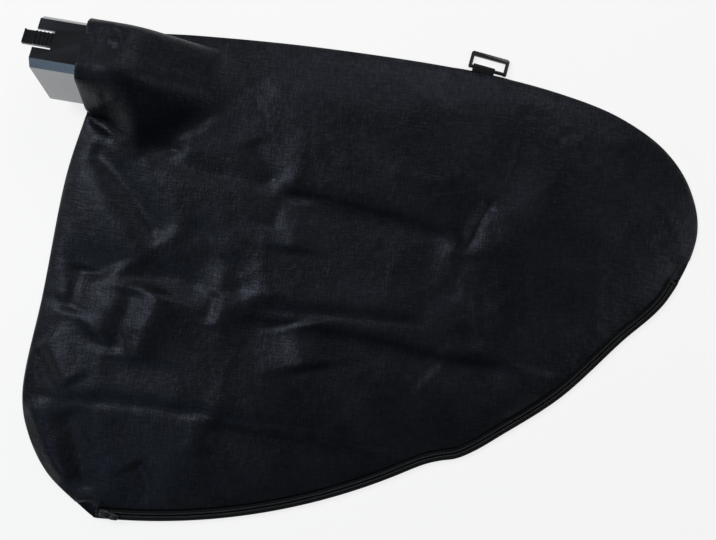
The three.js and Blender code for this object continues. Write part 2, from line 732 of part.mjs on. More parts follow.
// Hanging loop, in its own frame: its bar lies on X, and it reaches out along Y
function hangingLoop() {
  const half = LOOP_LENGTH / 2;
  const low = -LOOP_BAR_RADIUS;
  const high = low + LOOP_HEIGHT;
  const round = LOOP_CORNER / 3; // middle point of a rounded corner
  const outline = [
    [-half, low + LOOP_CLIP], [-half + LOOP_CLIP, low], [half - LOOP_CLIP, low], [half, low + LOOP_CLIP],
    [half, high - LOOP_CORNER], [half - round, high - round], [half - LOOP_CORNER, high],
    [-half + LOOP_CORNER, high], [-half + round, high - round], [-half, high - LOOP_CORNER],
  ];
  const frame = prismZ(outline, -LOOP_THICKNESS / 2, LOOP_THICKNESS / 2);
  const inner = half - LOOP_SIDE;
  const hole = block([-inner, inner], [low - PAST, high - LOOP_TOP], [-LOOP_THICKNESS, LOOP_THICKNESS]);
  const bar = new THREE.CylinderGeometry(LOOP_BAR_RADIUS, LOOP_BAR_RADIUS, 2 * half - LOOP_SIDE, 14);
  return fromManifold(frame.subtract(hole).add(toManifold(bar.rotateZ(Math.PI / 2))));
}

// Webbing tab, in the loop's frame: two layers from the seam, folded round the bar
const barLevel = LOOP_BAR_RADIUS + TAB_CLEARANCE + TAB_THICKNESS + RUN_CLEARANCE;
const foldRadius = LOOP_BAR_RADIUS + TAB_CLEARANCE + TAB_THICKNESS / 2;

function webbingTab() {
  const lower = seamLevel + TAB_THICKNESS / 2 - barLevel;
  const upper = lower + TAB_THICKNESS + LAYER_GAP;
  const [root, bend] = [-TAB_REACH - TAB_ROOT, -TAB_REACH + ROOT];
  const path = [[root, lower], [bend, lower]];
  for (let degrees = -TAB_BEND; degrees <= TAB_BEND; degrees += TAB_BEND_STEP) {
    const angle = THREE.MathUtils.degToRad(degrees);
    path.push([foldRadius * Math.cos(angle), foldRadius * Math.sin(angle)]);
  }
  path.push([bend, upper], [root, upper]);
  const rings = path.map(([y, z], place) => {
    const before = path[Math.max(place - 1, 0)];
    const after = path[Math.min(place + 1, path.length - 1)];
    const along = new THREE.Vector2(after[0] - before[0], after[1] - before[1]).normalize();
    const [ny, nz] = [-along.y * TAB_THICKNESS / 2, along.x * TAB_THICKNESS / 2];
    const [start, end] = [TAB_SHIFT - TAB_WIDTH / 2, TAB_SHIFT + TAB_WIDTH / 2];
    return [
      new THREE.Vector3(start, y + ny, z + nz),
      new THREE.Vector3(end, y + ny, z + nz),
      new THREE.Vector3(end, y - ny, z - nz),
      new THREE.Vector3(start, y - ny, z - nz),
    ];
  });
  return ringSolid(rings);
}

// Assembly

addMesh('front_panel', frontPanel(), cloth);
addMesh('back_panel', backPanel(), cloth);

for (const mesh of [addMesh('duct', duct(), ductPlastic), addMesh('neck_band', neckBand(), bandPlastic)]) {
  mesh.position.set(DUCT_X, DUCT_Y, ductZ);
  mesh.rotation.x = DUCT_ROLL;
}

const half = COIL_GAP / 2;
const tapeLevels = [tapeLow, tapeHigh];
const tapeBack = [TAPE_INSET, ZIP_INSET - half];
const tapeFront = [ZIP_INSET + half, ZIP_INSET + TAPE_INNER];
addMesh('zip_tape_back', edgeStrip(zipStart, zipEnd, tapeBack, tapeLevels), tape);
addMesh('zip_tape_front', edgeStrip(zipStart, zipEnd, tapeFront, tapeLevels), tape);
const coilLevels = [coilLow, coilHigh];
const coilStart = zipStart + STOP_LENGTH + LAYER_GAP;
const coilEnd = zipEnd - STOP_LENGTH - LAYER_GAP;
for (const [name, insets] of [
  ['back', [ZIP_INSET - half - COIL_WIDTH, ZIP_INSET - half]],
  ['front', [ZIP_INSET + half, ZIP_INSET + half + COIL_WIDTH]],
]) {
  const topStop = edgeStrip(zipStart + STOP_INSET, zipStart + STOP_LENGTH, insets, coilLevels);
  addMesh(`zip_coil_${name}`, edgeStrip(coilStart, coilEnd, insets, coilLevels), coilPlastic);
  addMesh(`zip_top_stop_${name}`, topStop, blackMetal);
}
const bothCoils = [ZIP_INSET - half - COIL_WIDTH, ZIP_INSET + half + COIL_WIDTH];
const bottomStop = edgeStrip(zipEnd - STOP_LENGTH, zipEnd - STOP_INSET, bothCoils, coilLevels);
addMesh('zip_bottom_stop', bottomStop, blackMetal);

// The slider's travel is an arc about ARC_CENTRE, so it stands on a radius of that arc
const zipRadius = ARC_RADIUS - ZIP_INSET;
const homeDegrees = ARC_START + THREE.MathUtils.radToDeg(ZIP_HOME / ARC_RADIUS);
const home = arcPoint(zipRadius, homeDegrees);
const travelTurn = THREE.MathUtils.degToRad(homeDegrees + 90);
const slider = addMesh('zip_slider', zipSlider(), blackMetal);
slider.position.set(home[0], home[1], 0);
slider.rotation.z = travelTurn;
const pull = addMesh('zip_pull', zipPull(), blackMetal);
pull.position.set(home[0], home[1], pullAxisZ);
pull.rotation.z = travelTurn + PULL_SKEW;

// The loop leans down until its outer bar rests on the table
const tabEdge = edgePoint(tabLength);
const reach = LOOP_HEIGHT - LOOP_BAR_RADIUS;
const lean = Math.asin((barLevel - LOOP_THICKNESS / 2) / reach);
const barPlace = [
  tabEdge.x - TAB_SHIFT * Math.cos(LOOP_TURN) - TAB_REACH * Math.sin(LOOP_TURN),
  tabEdge.y - TAB_SHIFT * Math.sin(LOOP_TURN) + TAB_REACH * Math.cos(LOOP_TURN),
];
const loop = addMesh('hanging_loop', hangingLoop(), loopPlastic);
loop.position.set(barPlace[0], barPlace[1], barLevel);
loop.rotation.set(-lean, 0, LOOP_TURN, 'ZXY');
const tab = addMesh('webbing_tab', webbingTab(), webbing);
tab.position.set(barPlace[0], barPlace[1], barLevel);
tab.rotation.z = LOOP_TURN;

// The origin is the middle of the box round the whole part, on the table
group.updateMatrixWorld(true);
const box = new THREE.Box3().setFromObject(group, true);
group.position.set(-(box.min.x + box.max.x) / 2, -(box.min.y + box.max.y) / 2, -box.min.z);
group.updateMatrixWorld(true);

export default group;
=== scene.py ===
# Looks of the leaf vacuum collection bag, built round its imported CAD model.
# The bag lies flat on its back panel. Lengths in this file are millimetres in the bag's own
# design frame until the last step of each piece, which shifts them and turns them to metres.
# The stage, and the settings that a user can change, are in metres.
import math

import bmesh
import bpy
import numpy as np
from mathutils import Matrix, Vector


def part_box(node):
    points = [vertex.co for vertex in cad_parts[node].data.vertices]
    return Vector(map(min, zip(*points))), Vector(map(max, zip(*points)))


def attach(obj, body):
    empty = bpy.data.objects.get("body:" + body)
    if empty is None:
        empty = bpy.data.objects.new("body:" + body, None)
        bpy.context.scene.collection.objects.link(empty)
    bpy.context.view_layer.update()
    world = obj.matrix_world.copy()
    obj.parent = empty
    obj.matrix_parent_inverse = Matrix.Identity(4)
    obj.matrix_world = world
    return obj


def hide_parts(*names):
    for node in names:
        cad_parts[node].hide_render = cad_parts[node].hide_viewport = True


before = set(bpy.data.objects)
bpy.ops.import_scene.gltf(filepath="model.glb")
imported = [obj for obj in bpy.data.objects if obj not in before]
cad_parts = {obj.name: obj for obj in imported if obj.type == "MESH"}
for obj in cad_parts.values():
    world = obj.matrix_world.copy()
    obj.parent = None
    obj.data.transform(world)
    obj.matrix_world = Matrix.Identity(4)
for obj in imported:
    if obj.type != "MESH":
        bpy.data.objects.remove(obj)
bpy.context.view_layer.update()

bl_info = {
    "name": "Leaf vacuum collection bag",
    "version": (1, 0, 0),
    "blender": (4, 5, 0),
    "location": "3D View > Sidebar > Bag",
    "description": "Cloth, zip, duct and hanging loop of a leaf vacuum collection bag",
    "category": "Object",
}

MM = 0.001

# Cloth and clearances. They are the CAD model's, apart from TENT_SPREAD, which is wider here so
# that the cloth opens more gently.
CLOTH = 1.2  # thickness of a panel
LAYER_GAP = 0.3  # clearance between layers that touch
LOFT = 18.0  # height that the front panel stands up away from its edges
LOFT_REACH = 36.0  # distance from the edge over which it rises
NECK_SLACK = 3.4  # room between the duct's flange and the cloth round it
TENT_START = 9.0  # length of cloth that runs level beyond the duct's inner end
TENT_SLOPE = 0.85  # its fall beyond that
TENT_BLEND = 12.0  # height over which the tent runs out into the flat cloth
TENT_SPREAD = 64.0  # distance inwards from the collar over which the arch opens into it
TENT_SIDE = [(112, -20), (62, 24), (28, 58)]  # distance from the duct's shoulder, height
ARCH_FOOT = -20.0  # level that the arch's sides aim at, below the table
FOOT_RUN_LOW = 3.0  # width of the arch's foot on the side of the zip
FOOT_RUN_HIGH = 2.2  # and on the top edge
COLLAR_SLANT = 7.0  # its lower foot lies this much nearer to the mouth

# Duct
DUCT_WIDTH = 62.0
DUCT_HEIGHT = 75.0
DUCT_CHAMFER = 7.0
DUCT_LENGTH = 92.0
DUCT_ROLL = math.radians(-21)  # it lies on one lower chamfer
DUCT_X = -366.0  # top edge of the mouth
DUCT_Y = 167.0
FLANGE_HEIGHT = 2.0
DUCT_SHOW = 50.0  # length of the duct's top edge that the cloth leaves bare
COLLAR_X = DUCT_X + DUCT_SHOW  # edge of the cloth round the duct

# Outline of the bag, from the neck down the side and round to the neck
SIDE = [(-333, 50), (-337, -80), (-341, -196)]
CORNER = [(-327, -238), (-300, -276), (-262, -303.5)]
ARC_CENTRE = (-283.5, 378.8)  # centre of the long arc of the lower edge
ARC_RADIUS = 696.0
ARC_START = -86.6  # degrees
ARC_END = -59.0
RUN_UP = [
    (108, -198), (124, -191.5), (140, -186.5), (158, -175.5), (184, -154), (242, -102), (297, -32),
]
TIP = [(340, 23), (361, 98), (346, 146), (312, 184), (257, 212)]
TOP = [(187, 227.5), (85, 236), (-81, 234), (-214, 225), (-270, 219)]
GRID_START = (-318, -252)  # corner of the front panel's mesh on the outline
GRID_RIGHT = [(297, -32), (322, 176)]  # ends of its right side

# Zip
ZIP_INSET = 6.6  # centre of the teeth inside the outline
ZIP_SHOW = 5.2  # from the centre of the teeth to the hem of the front panel
ZIP_START = 3.0
ZIP_END = (350, 42)  # nearest point of the outline
TAPE_THICKNESS = 0.6
TAPE_INSET = 0.3
TAPE_INNER = 17.0  # width under the front panel
COIL_WIDTH = 2.0
COIL_HEIGHT = 2.0
COIL_GAP = 1.4  # slit between the two rows, for the slider's post
HEM_HEIGHT = 3.6  # height of the back panel's turned-up hem
HEM_LEAD = 14.0  # the front panel's hem lies back this far beyond both ends of the zip
HEM_RAMP = 16.0  # length over which it then meets the seam
LIFT_RAMP = 20.0  # length over which its edge comes down from the level of the zip
STOP_LENGTH = 3.0
STOP_GAP = 0.6  # room between a stop and the first tooth
TAPE_EASE = 0.2  # rounding of the tape's edges
TAPE_LIFT = 0.02  # the tape's underside lies this much over the solid's
TOOTH_FILL = 0.42  # half of a tooth along the zip, as a share of the pitch
TOOTH_GRIP = 0.12  # how far a tooth reaches past the solid row's edge
# place along a tooth from its root, and its radius there
TOOTH_RINGS = [(0.0, 0.35), (0.12, 0.8), (0.35, 1.0), (0.8, 1.0), (0.95, 0.75), (1.0, 0.3)]

# Stitches beside the zip
STITCH_INSET = 2.4
STITCH_HALF_WIDTH = 0.28
STITCH_HALF_HEIGHT = 0.24
STITCH_RISE = 0.12  # middle of a stitch over the cloth
STITCH_DIP = 0.35  # how much lower its ends lie
STITCH_RINGS = [(-0.5, 0.2), (-0.38, 0.8), (0.0, 1.0), (0.38, 0.8), (0.5, 0.2)]

# Back panel and its hem
BACK_MIDDLE = (-20.0, 0.0)  # place that the rings of the back panel shrink to
BACK_RINGS = 26
BACK_SIDES = 360
BACK_HALF = 260.0  # usual distance from there to the edge
BACK_DROP = 0.35  # the panel's edge lies this much lower
BACK_DROP_REACH = 3.0
BACK_WALL = CLOTH - 0.4
HEM_INSET = 1.1  # middle of the hem inside the outline
HEM_HALF = 0.95  # half its width
HEM_EASE = 0.45  # half of the hem's height over the table

# Webbing tab and loop
LOOP_X = 103.5
LOOP_TURN = math.radians(-6)
LOOP_BAR_RADIUS = 2.0
TAB_SHIFT = -5.0  # the tab's middle lies beside the loop's by this much
TAB_WIDTH = 24.0
TAB_THICKNESS = 1.0
TAB_REACH = 4.7  # from the seam to the bar
TAB_ROOT = 13.0  # length in the seam
TAB_CLEARANCE = 0.4
TAB_LIFT = 8.0  # width of raised edge on either side of the tab
TAB_RAMP = 16.0
TAB_TURN = 110  # degrees that the fold goes round the bar, to either side of its far point
TAB_BEND = 0.5  # length from the seam to where its layers part round the bar
TAB_SKIN = 0.06  # the tab's wall is thinner than the solid's by this much
TAB_DROP = 0.12  # its edges curl inwards by this much
TAB_DROP_REACH = 0.8
BAR_LIFT = 0.4  # room between the floor and the webbing under the bar

# The photograph, for places picked on it
PHOTO_CENTRE = (358, 270)
PHOTO_PIXEL = 1.1  # millimetres at the level of the table
PICK_ZOOM = 2.19  # how much the photograph was enlarged for picking
PICK_LEVEL = 17.0  # height of the cloth where the folds were picked
CAMERA_HEIGHT = 1200.0
CAMERA_TURN = math.radians(9.5)
CAMERA_LENS = 54.85
CAMERA_SENSOR = 36.0

# Stage, in metres: each light's name, place, size, power in watts and colour
LIGHTS = [
    ("key", (-1.4, 0.6, 1.4), (0.7, 1.0), 27.0, "#ffffff"),
    ("north", (0.2, 1.35, 0.95), (0.8, 0.6), 6.5, "#ffffff"),
    ("fill", (1.5, 0.1, 0.8), (1.0, 1.0), 6.0, "#ffffff"),
    ("strip", (-0.76, -0.97, 1.03), (1.0, 0.5), 3.0, "#cfe8ff"),
]
ROOM_GLOW = 0.09  # strength of the world's light on the object
FLOOR_HALF = 60.0

# Folds of the front panel: height (a valley is negative), reach to the left and right of the
# route, sharpness (1 is a knife edge, 2 a round one), and the route, picked in pixels of the
# photograph enlarged PICK_ZOOM times. A fold with a short reach on one side only is steep
# there and runs out softly on the other.
PICKED_FOLDS = [
    # the two bright facets by the side seam, and the valley above them
    (-9, 26, 15, 1.5, [(104, 556), (200, 585), (262, 602), (330, 606), (400, 615), (480, 648)]),
    (7, 26, 26, 1.5, [(240, 575), (262, 640), (240, 690), (195, 745)]),
    (-7, 18, 18, 1.5, [(176, 580), (168, 620), (148, 690)]),
    (8, 26, 24, 1.4, [(356, 628), (335, 680), (312, 730), (296, 800)]),
    (-7, 16, 20, 1.5, [(292, 628), (282, 680), (262, 730), (246, 780)]),
    (2, 8, 12, 1.6, [(150, 570), (145, 610), (132, 658)]),
    # small pucker where the middle fold starts
    (3, 9, 9, 1.5, [(496, 640), (486, 675), (466, 724)]),
    (-3, 8, 7, 1.5, [(472, 640), (463, 672), (450, 705)]),
    # fold across the middle
    (4, 34, 9, 1.3, [(520, 642), (620, 654), (720, 664), (840, 676), (930, 690)]),
    (-3, 10, 4, 1.2, [(512, 668), (620, 682), (720, 692), (840, 702), (950, 716)]),
    (-9, 12, 28, 1.5, [(500, 685), (560, 710), (640, 724), (740, 742), (850, 764), (940, 791),
                       (1050, 806), (1165, 832)]),
    (3.5, 10, 12, 1.3, [(490, 655), (560, 684), (640, 698), (740, 715), (850, 738), (940, 765),
                        (1050, 778), (1165, 806)]),
    (7, 30, 22, 1.5, [(646, 706), (656, 750), (664, 815)]),
    (-1.5, 7, 7, 1.5, [(930, 790), (955, 765), (985, 748)]),
    (4, 26, 26, 1.6, [(1160, 800), (1145, 860), (1112, 935)]),
    (2, 30, 24, 1.8, [(930, 815), (985, 870), (1040, 940)]),
    # crumple at the side seam
    (6, 20, 14, 1.5, [(88, 738), (120, 790), (154, 848)]),
    (-3, 9, 9, 1.5, [(74, 762), (108, 808), (132, 858)]),
    # long fold below the middle
    (4.5, 36, 9, 1.3, [(70, 846), (150, 850), (240, 852), (330, 864), (420, 880), (520, 898),
                       (640, 916)]),
    (-3, 10, 4, 1.2, [(48, 866), (150, 876), (250, 882), (330, 892), (420, 905), (520, 918),
                      (650, 935), (770, 955), (950, 992)]),
    (-7, 12, 30, 1.5, [(440, 933), (520, 950), (650, 970), (770, 988), (880, 1008)]),
    (4, 12, 12, 1.3, [(430, 903), (520, 922), (650, 942), (770, 962), (900, 988)]),
    (2.5, 9, 10, 1.5, [(440, 898), (425, 940), (412, 1000)]),
    (2, 10, 8, 1.5, [(464, 902), (455, 950), (438, 990)]),
    # lower corner
    (6, 22, 12, 1.5, [(58, 872), (85, 940), (110, 1000), (144, 1068)]),
    (-6, 20, 14, 1.5, [(138, 892), (160, 960), (172, 1020), (188, 1095)]),
    (-5, 8, 26, 1.3, [(296, 1008), (318, 1060), (298, 1122)]),
    # from the neck to the middle
    (-9, 16, 7, 1.2, [(180, 246), (240, 285), (310, 312), (415, 336)]),
    (3, 9, 34, 1.3, [(218, 280), (285, 325), (345, 368), (420, 395), (500, 410), (600, 402)]),
    (-3.5, 11, 11, 1.5, [(322, 348), (400, 366), (470, 385), (540, 398), (630, 406)]),
    (4, 25, 46, 1.4, [(150, 352), (196, 398), (232, 452), (268, 512), (324, 598)]),
    (-9, 18, 14, 1.5, [(190, 310), (250, 380), (300, 450), (352, 540)]),
    (-4.5, 11, 16, 1.4, [(392, 492), (450, 515), (470, 560), (510, 585), (525, 610), (544, 660)]),
    (-3, 10, 12, 1.5, [(556, 306), (580, 356), (606, 404)]),
    # upper long fold
    (-9, 12, 40, 1.5, [(600, 427), (700, 449), (800, 474), (900, 501), (1016, 545)]),
    (4.5, 50, 10, 1.3, [(596, 398), (700, 420), (800, 445), (900, 472), (1034, 520)]),
    (7, 18, 22, 1.5, [(652, 432), (648, 490), (638, 556)]),
    (-3.5, 8, 13, 1.5, [(612, 432), (606, 470), (592, 510)]),
    # from the loop down to where the folds meet
    (-3.2, 30, 6, 1.35, [(1154, 205), (1148, 280), (1136, 340), (1116, 400), (1070, 450), (1036, 490),
                         (1006, 556)]),
    (-3.5, 7, 5, 1.35, [(1080, 438), (1055, 480), (1030, 530), (994, 566)]),
    (-2.6, 9, 9, 1.5, [(1002, 556), (1000, 600), (992, 662)]),
    (-3, 14, 8, 1.4, [(1012, 552), (1040, 640), (1050, 700), (1042, 772)]),
    (3, 34, 20, 1.6, [(1050, 575), (1140, 490), (1240, 480), (1370, 540)]),
    (2, 16, 24, 1.6, [(560, 190), (700, 212), (830, 244), (940, 262)]),
]
FOLD_FADE = 10.0  # distance from the seam over which folds grow to their height
FOLD_END = 0.14  # share of a route over which a fold fades at either end
CREST_ROUND = 1.2  # rounding of a fold's crest
GATHER = 0.8  # height of the gathers at the collar
GATHER_CELL = 7.5
GATHER_STRETCH = 0.16  # their width as a share of their length
GATHER_REACH = 22.0
SEAM_PRESS = 0.55  # how far the seam presses the cloth down
PRESS_REACH = 3.0
PUCKER = 0.7  # height of the puckers along the seam
PUCKER_CELL = 8.0
PUCKER_REACH = 9.0
EDGE_BAND = 5.0  # width beside the seam where only the nearest edge is felt
EDGE_BLEND = 14.0  # and the width over which the whole edge takes over
TENT_ROUND = 17.0  # the tent's edges are rounded over this width away from the collar
TENT_EASE = 18.0  # half the length over which its fall begins
TENT_SAMPLES = (-1, -0.6, -0.3, 0, 0.3, 0.6, 1)

# Creases of the cloth over the duct, in the same form
NECK_FOLDS = [
    (-3.0, 5, 5, 1.3, [(-309, 202), (-297, 195), (-291, 185), (-280, 183)]),
    (-2.4, 5, 5, 1.3, [(-296, 206), (-286, 198), (-272, 196)]),
    (-2.0, 8, 8, 1.6, [(-310, 173), (-275, 179), (-238, 179), (-200, 178), (-156, 172)]),
    (2.5, 6, 6, 1.4, [(-327, 166), (-319, 151), (-309, 139), (-288, 130)]),
    (-2.0, 4, 4, 1.4, [(-318, 196), (-311, 188), (-312, 172)]),
    (1.6, 8, 8, 1.6, [(-300, 160), (-262, 158), (-225, 150)]),
]

# Mesh of the front panel
COLUMNS = 244
SEAM_ROWS = 128
ARCH_ROWS = 60


def linear(code):
    """Colour of a hex code, turned from sRGB to linear light."""
    parts = [int(code[place:place + 2], 16) / 255 for place in (1, 3, 5)]
    return [part / 12.92 if part <= 0.04045 else ((part + 0.055) / 1.055) ** 2.4 for part in parts]


def smooth(value):
    """Smooth step: 0 below 0, 1 above 1, and 3t2 - 2t3 between."""
    t = np.clip(value, 0, 1)
    return t * t * (3 - 2 * t)


# Outline


def spline(points, steps=40):
    """Centripetal Catmull-Rom curve: each leg is a cubic through its two ends, whose slopes come
    from knots spaced by the square root of the legs' lengths."""
    p = np.array(points, float)
    p = np.vstack([2 * p[0] - p[1], p, 2 * p[-1] - p[-2]])
    gap = np.sqrt(np.linalg.norm(np.diff(p, axis=0), axis=1))[:, None]
    step = np.diff(p, axis=0) / gap
    join = (p[2:] - p[:-2]) / (gap[1:] + gap[:-1])
    slope = step[:-1] - join + step[1:]
    start, end = p[1:-2, None], p[2:-1, None]
    leave = (slope[:-1] * gap[1:-1])[:, None]
    arrive = (slope[1:] * gap[1:-1])[:, None]
    t = np.linspace(0, 1, steps, endpoint=False)[None, :, None]
    curve = (
        start * (2 * t**3 - 3 * t**2 + 1) + end * (3 * t**2 - 2 * t**3)
        + leave * (t**3 - 2 * t**2 + t) + arrive * (t**3 - t**2)
    )
    return np.vstack([curve.reshape(-1, p.shape[1]), p[-2]])


def section_corner(side, level, on_side, offset):
    """A corner of the duct's chamfered section, grown outwards by an offset, rolled and placed."""
    chamfer = DUCT_CHAMFER + offset * (2 - math.sqrt(2))
    y = side * (DUCT_WIDTH / 2 + offset - (0 if on_side else chamfer))
    z = level * (DUCT_HEIGHT / 2 + offset - (chamfer if on_side else 0))
    cos, sin = math.cos(DUCT_ROLL), math.sin(DUCT_ROLL)
    return np.array([y * cos - z * sin + DUCT_Y, y * sin + z * cos])


UPPER_CORNERS = [(-1, -1, True), (-1, 1, True), (-1, 1, False), (1, 1, False), (1, 1, True)]
LOWER_CORNERS = [(-1, -1, False), (1, -1, False)]
DUCT_Z = CLOTH + LAYER_GAP - min(section_corner(*corner, FLANGE_HEIGHT)[1] for corner in LOWER_CORNERS)
ARCH_REACH = NECK_SLACK + CLOTH
ARCH_CORNERS = [
    section_corner(*corner, FLANGE_HEIGHT + ARCH_REACH) + (0, DUCT_Z) for corner in UPPER_CORNERS
]
FLANGE_CORNERS = [section_corner(*corner, FLANGE_HEIGHT) + (0, DUCT_Z) for corner in UPPER_CORNERS]
FOOT_LOW = ARCH_CORNERS[0][0] - FOOT_RUN_LOW
FOOT_HIGH = ARCH_CORNERS[4][0] + FOOT_RUN_HIGH


def build_outline():
    """Dense points of the outline with their length along it, and the length where its arc
    starts."""
    turn = np.radians(np.linspace(ARC_START, ARC_END, 200))
    arc = ARC_CENTRE + ARC_RADIUS * np.stack([np.cos(turn), np.sin(turn)], 1)
    side = spline([(COLLAR_X - COLLAR_SLANT, FOOT_LOW), *SIDE, *CORNER, arc[0]])
    rest = spline([arc[-1], *RUN_UP, *TIP, *TOP, (COLLAR_X, FOOT_HIGH)])
    points = np.vstack([side, arc[1:], rest[1:]])
    lengths = np.concatenate([[0], np.cumsum(np.linalg.norm(np.diff(points, axis=0), axis=1))])
    return points, lengths, lengths[len(side) - 1]


OUTLINE, LENGTHS, ARC_LENGTH = build_outline()
TOTAL = LENGTHS[-1]
TANGENT_STEP = 0.4
HEM_STEP = 9.0


def on_outline(length):
    """Point of the outline at a length along it."""
    return np.stack([np.interp(length, LENGTHS, OUTLINE[:, axis]) for axis in (0, 1)], -1)


def edge_point(length, inset=0.0, step=TANGENT_STEP):
    """Point of the outline at a length along it, moved inwards along its normal by an inset."""
    length = np.clip(length, 0, TOTAL)
    ahead = on_outline(np.clip(length + step, 0, TOTAL))
    along = ahead - on_outline(np.clip(length - step, 0, TOTAL))
    along /= np.linalg.norm(along, axis=-1, keepdims=True)
    inwards = np.stack([-along[..., 1], along[..., 0]], -1)
    return on_outline(length) + inwards * np.asarray(inset)[..., None]


def edge_length(point):
    """Length along the outline of its point nearest to a given one."""
    return LENGTHS[np.argmin(np.linalg.norm(OUTLINE - point, axis=1))]


SHIFT = np.array([*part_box("back_panel")[0][:2]]) / MM - OUTLINE.min(axis=0)
ZIP_FROM = ARC_LENGTH + ZIP_START
ZIP_TO = edge_length(ZIP_END)
TAB_LENGTH = edge_length((LOOP_X + TAB_SHIFT, TOP[1][1]))


def window(length, start, end, ramp):
    """1 between two lengths, falling to 0 over a ramp outside them."""
    return smooth((length - start + ramp) / ramp) * smooth((end + ramp - length) / ramp)


# Levels of the layers, from the table up
SEAM_LEVEL = CLOTH + LAYER_GAP
TAPE_LOW = HEM_HEIGHT + LAYER_GAP
TAPE_HIGH = TAPE_LOW + TAPE_THICKNESS
COIL_LOW = TAPE_HIGH + LAYER_GAP
COIL_HIGH = COIL_LOW + COIL_HEIGHT
TAB_HIGH = SEAM_LEVEL + 2 * TAB_THICKNESS + LAYER_GAP


def hem_inset(length):
    """How far the front panel's edge lies inside the outline: it leaves the zip open to view."""
    return (ZIP_INSET + ZIP_SHOW) * window(length, ZIP_FROM - HEM_LEAD, ZIP_TO + HEM_LEAD, HEM_RAMP)


def edge_level(length):
    """Underside of the front panel along its edge."""
    at_zip = window(length, ZIP_FROM - HEM_LEAD, ZIP_TO + HEM_LEAD, LIFT_RAMP)
    reach = TAB_WIDTH / 2 + TAB_LIFT
    at_tab = window(length, TAB_LENGTH - reach, TAB_LENGTH + reach, TAB_RAMP)
    return SEAM_LEVEL + at_zip * (COIL_LOW - SEAM_LEVEL) + at_tab * (TAB_HIGH + LAYER_GAP - SEAM_LEVEL)


def hem_point(length, inset=0.0):
    """Point of the front panel's edge, moved inwards by an inset. Its normal is taken over a wider
    step, so that the hem rounds the corner where the zip starts."""
    return edge_point(length, hem_inset(length) + inset, HEM_STEP)


# Meshes


def placed(points):
    """Design points in millimetres, shifted to the CAD frame and turned to metres."""
    points = np.array(points, float).reshape(-1, 3)
    points[:, :2] += SHIFT
    return points * MM


def new_piece(name, points, faces, material, uv=None):
    """A mesh object from points in metres and faces, with its own UV map where one is given."""
    mesh = bpy.data.meshes.new(name)
    mesh.from_pydata(np.asarray(points).tolist(), [], faces)
    if uv is not None:
        corner = np.zeros(len(mesh.loops), np.int32)
        mesh.loops.foreach_get("vertex_index", corner)
        layer = mesh.uv_layers.new(name="cloth")
        layer.data.foreach_set("uv", np.asarray(uv, np.float32)[corner].ravel())
    mesh.polygons.foreach_set("use_smooth", np.ones(len(mesh.polygons), bool))
    mesh.materials.append(material)
    mesh.update()
    piece = bpy.data.objects.new(name, mesh)
    bpy.context.scene.collection.objects.link(piece)
    return piece


def grid_faces(rows, columns, closed=False):
    """Quads of a grid of points numbered row by row. A closed grid joins its last column to its
    first."""
    across = columns if closed else columns - 1
    row, column = np.meshgrid(np.arange(rows - 1), np.arange(across), indexing="ij")
    a = row * columns + column
    b = row * columns + (column + 1) % columns
    return np.stack([a, b, b + columns, a + columns], -1).reshape(-1, 4)


def repeated(points, faces, count):
    """Faces of a shape repeated a number of times, for points stacked copy by copy."""
    offset = np.arange(count)[:, None, None] * points
    return (faces[None] + offset).reshape(-1, faces.shape[1]).tolist()


def capsule(rings, sides):
    """Unit capsule along its first axis: a ring of points at each place and radius given, and the
    quads between them. The end rings are small enough to close the ends."""
    turn = np.linspace(0, 2 * math.pi, sides, endpoint=False)
    place, radius = np.array(rings).T
    points = np.stack([
        np.repeat(place, sides),
        (radius[:, None] * np.cos(turn)).ravel(),
        (radius[:, None] * np.sin(turn)).ravel(),
    ], 1)
    cap = np.array([[0, side + 1, side + 2, side + 3] for side in range(0, sides - 3, 2)])
    last = (len(rings) - 1) * sides
    faces = np.vstack([grid_faces(len(rings), sides, closed=True), cap[:, ::-1], cap + last])
    return points, faces


def swept(name, start, end, step, profile, material):
    """A strip along the outline: a closed profile of insets and heights, carried along it."""
    profile = np.array(profile, float)
    count = max(2, round((end - start) / step) + 1)
    length = np.linspace(start, end, count)[:, None].repeat(len(profile), 1)
    flat = edge_point(length, np.broadcast_to(profile[:, 0], length.shape))
    points = np.dstack([flat, np.broadcast_to(profile[:, 1], length.shape)])
    across = np.concatenate([[0], np.cumsum(np.linalg.norm(np.diff(profile, axis=0), axis=1))])
    uv = np.stack([length, np.broadcast_to(across, length.shape)], -1).reshape(-1, 2) * MM
    faces = grid_faces(count, len(profile), closed=True).tolist()
    faces.append(list(range(len(profile)))[::-1])
    faces.append([place + (count - 1) * len(profile) for place in range(len(profile))])
    piece = new_piece(name, placed(points), faces, material, uv=uv)
    face_outwards(piece)
    return piece


def face_outwards(piece):
    """Recalculates the normals of a closed mesh so that they point out."""
    work = bmesh.new()
    work.from_mesh(piece.data)
    bmesh.ops.recalc_face_normals(work, faces=work.faces)
    work.to_mesh(piece.data)
    work.free()


def moulded(cad_node, name, material, radius, angle=30):
    """A copy of a CAD node with its loose triangles merged, flat faces joined and edges rounded
    by a radius in metres."""
    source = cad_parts[cad_node]
    work = bmesh.new()
    work.from_mesh(source.data)
    bmesh.ops.remove_doubles(work, verts=work.verts, dist=1e-6)
    bmesh.ops.dissolve_limit(work, angle_limit=math.radians(1), verts=work.verts, edges=work.edges)
    bmesh.ops.recalc_face_normals(work, faces=work.faces)
    mesh = bpy.data.meshes.new(name)
    work.to_mesh(mesh)
    work.free()
    mesh.materials.append(material)
    mesh.polygons.foreach_set("use_smooth", np.ones(len(mesh.polygons), bool))
    piece = bpy.data.objects.new(name, mesh)
    bpy.context.scene.collection.objects.link(piece)
    bevel = piece.modifiers.new("rounded_edges", "BEVEL")
    bevel.width = radius
    bevel.segments = 3
    bevel.limit_method = "ANGLE"
    bevel.angle_limit = math.radians(angle)
    bevel.harden_normals = True
    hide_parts(cad_node)
    return piece


# Materials


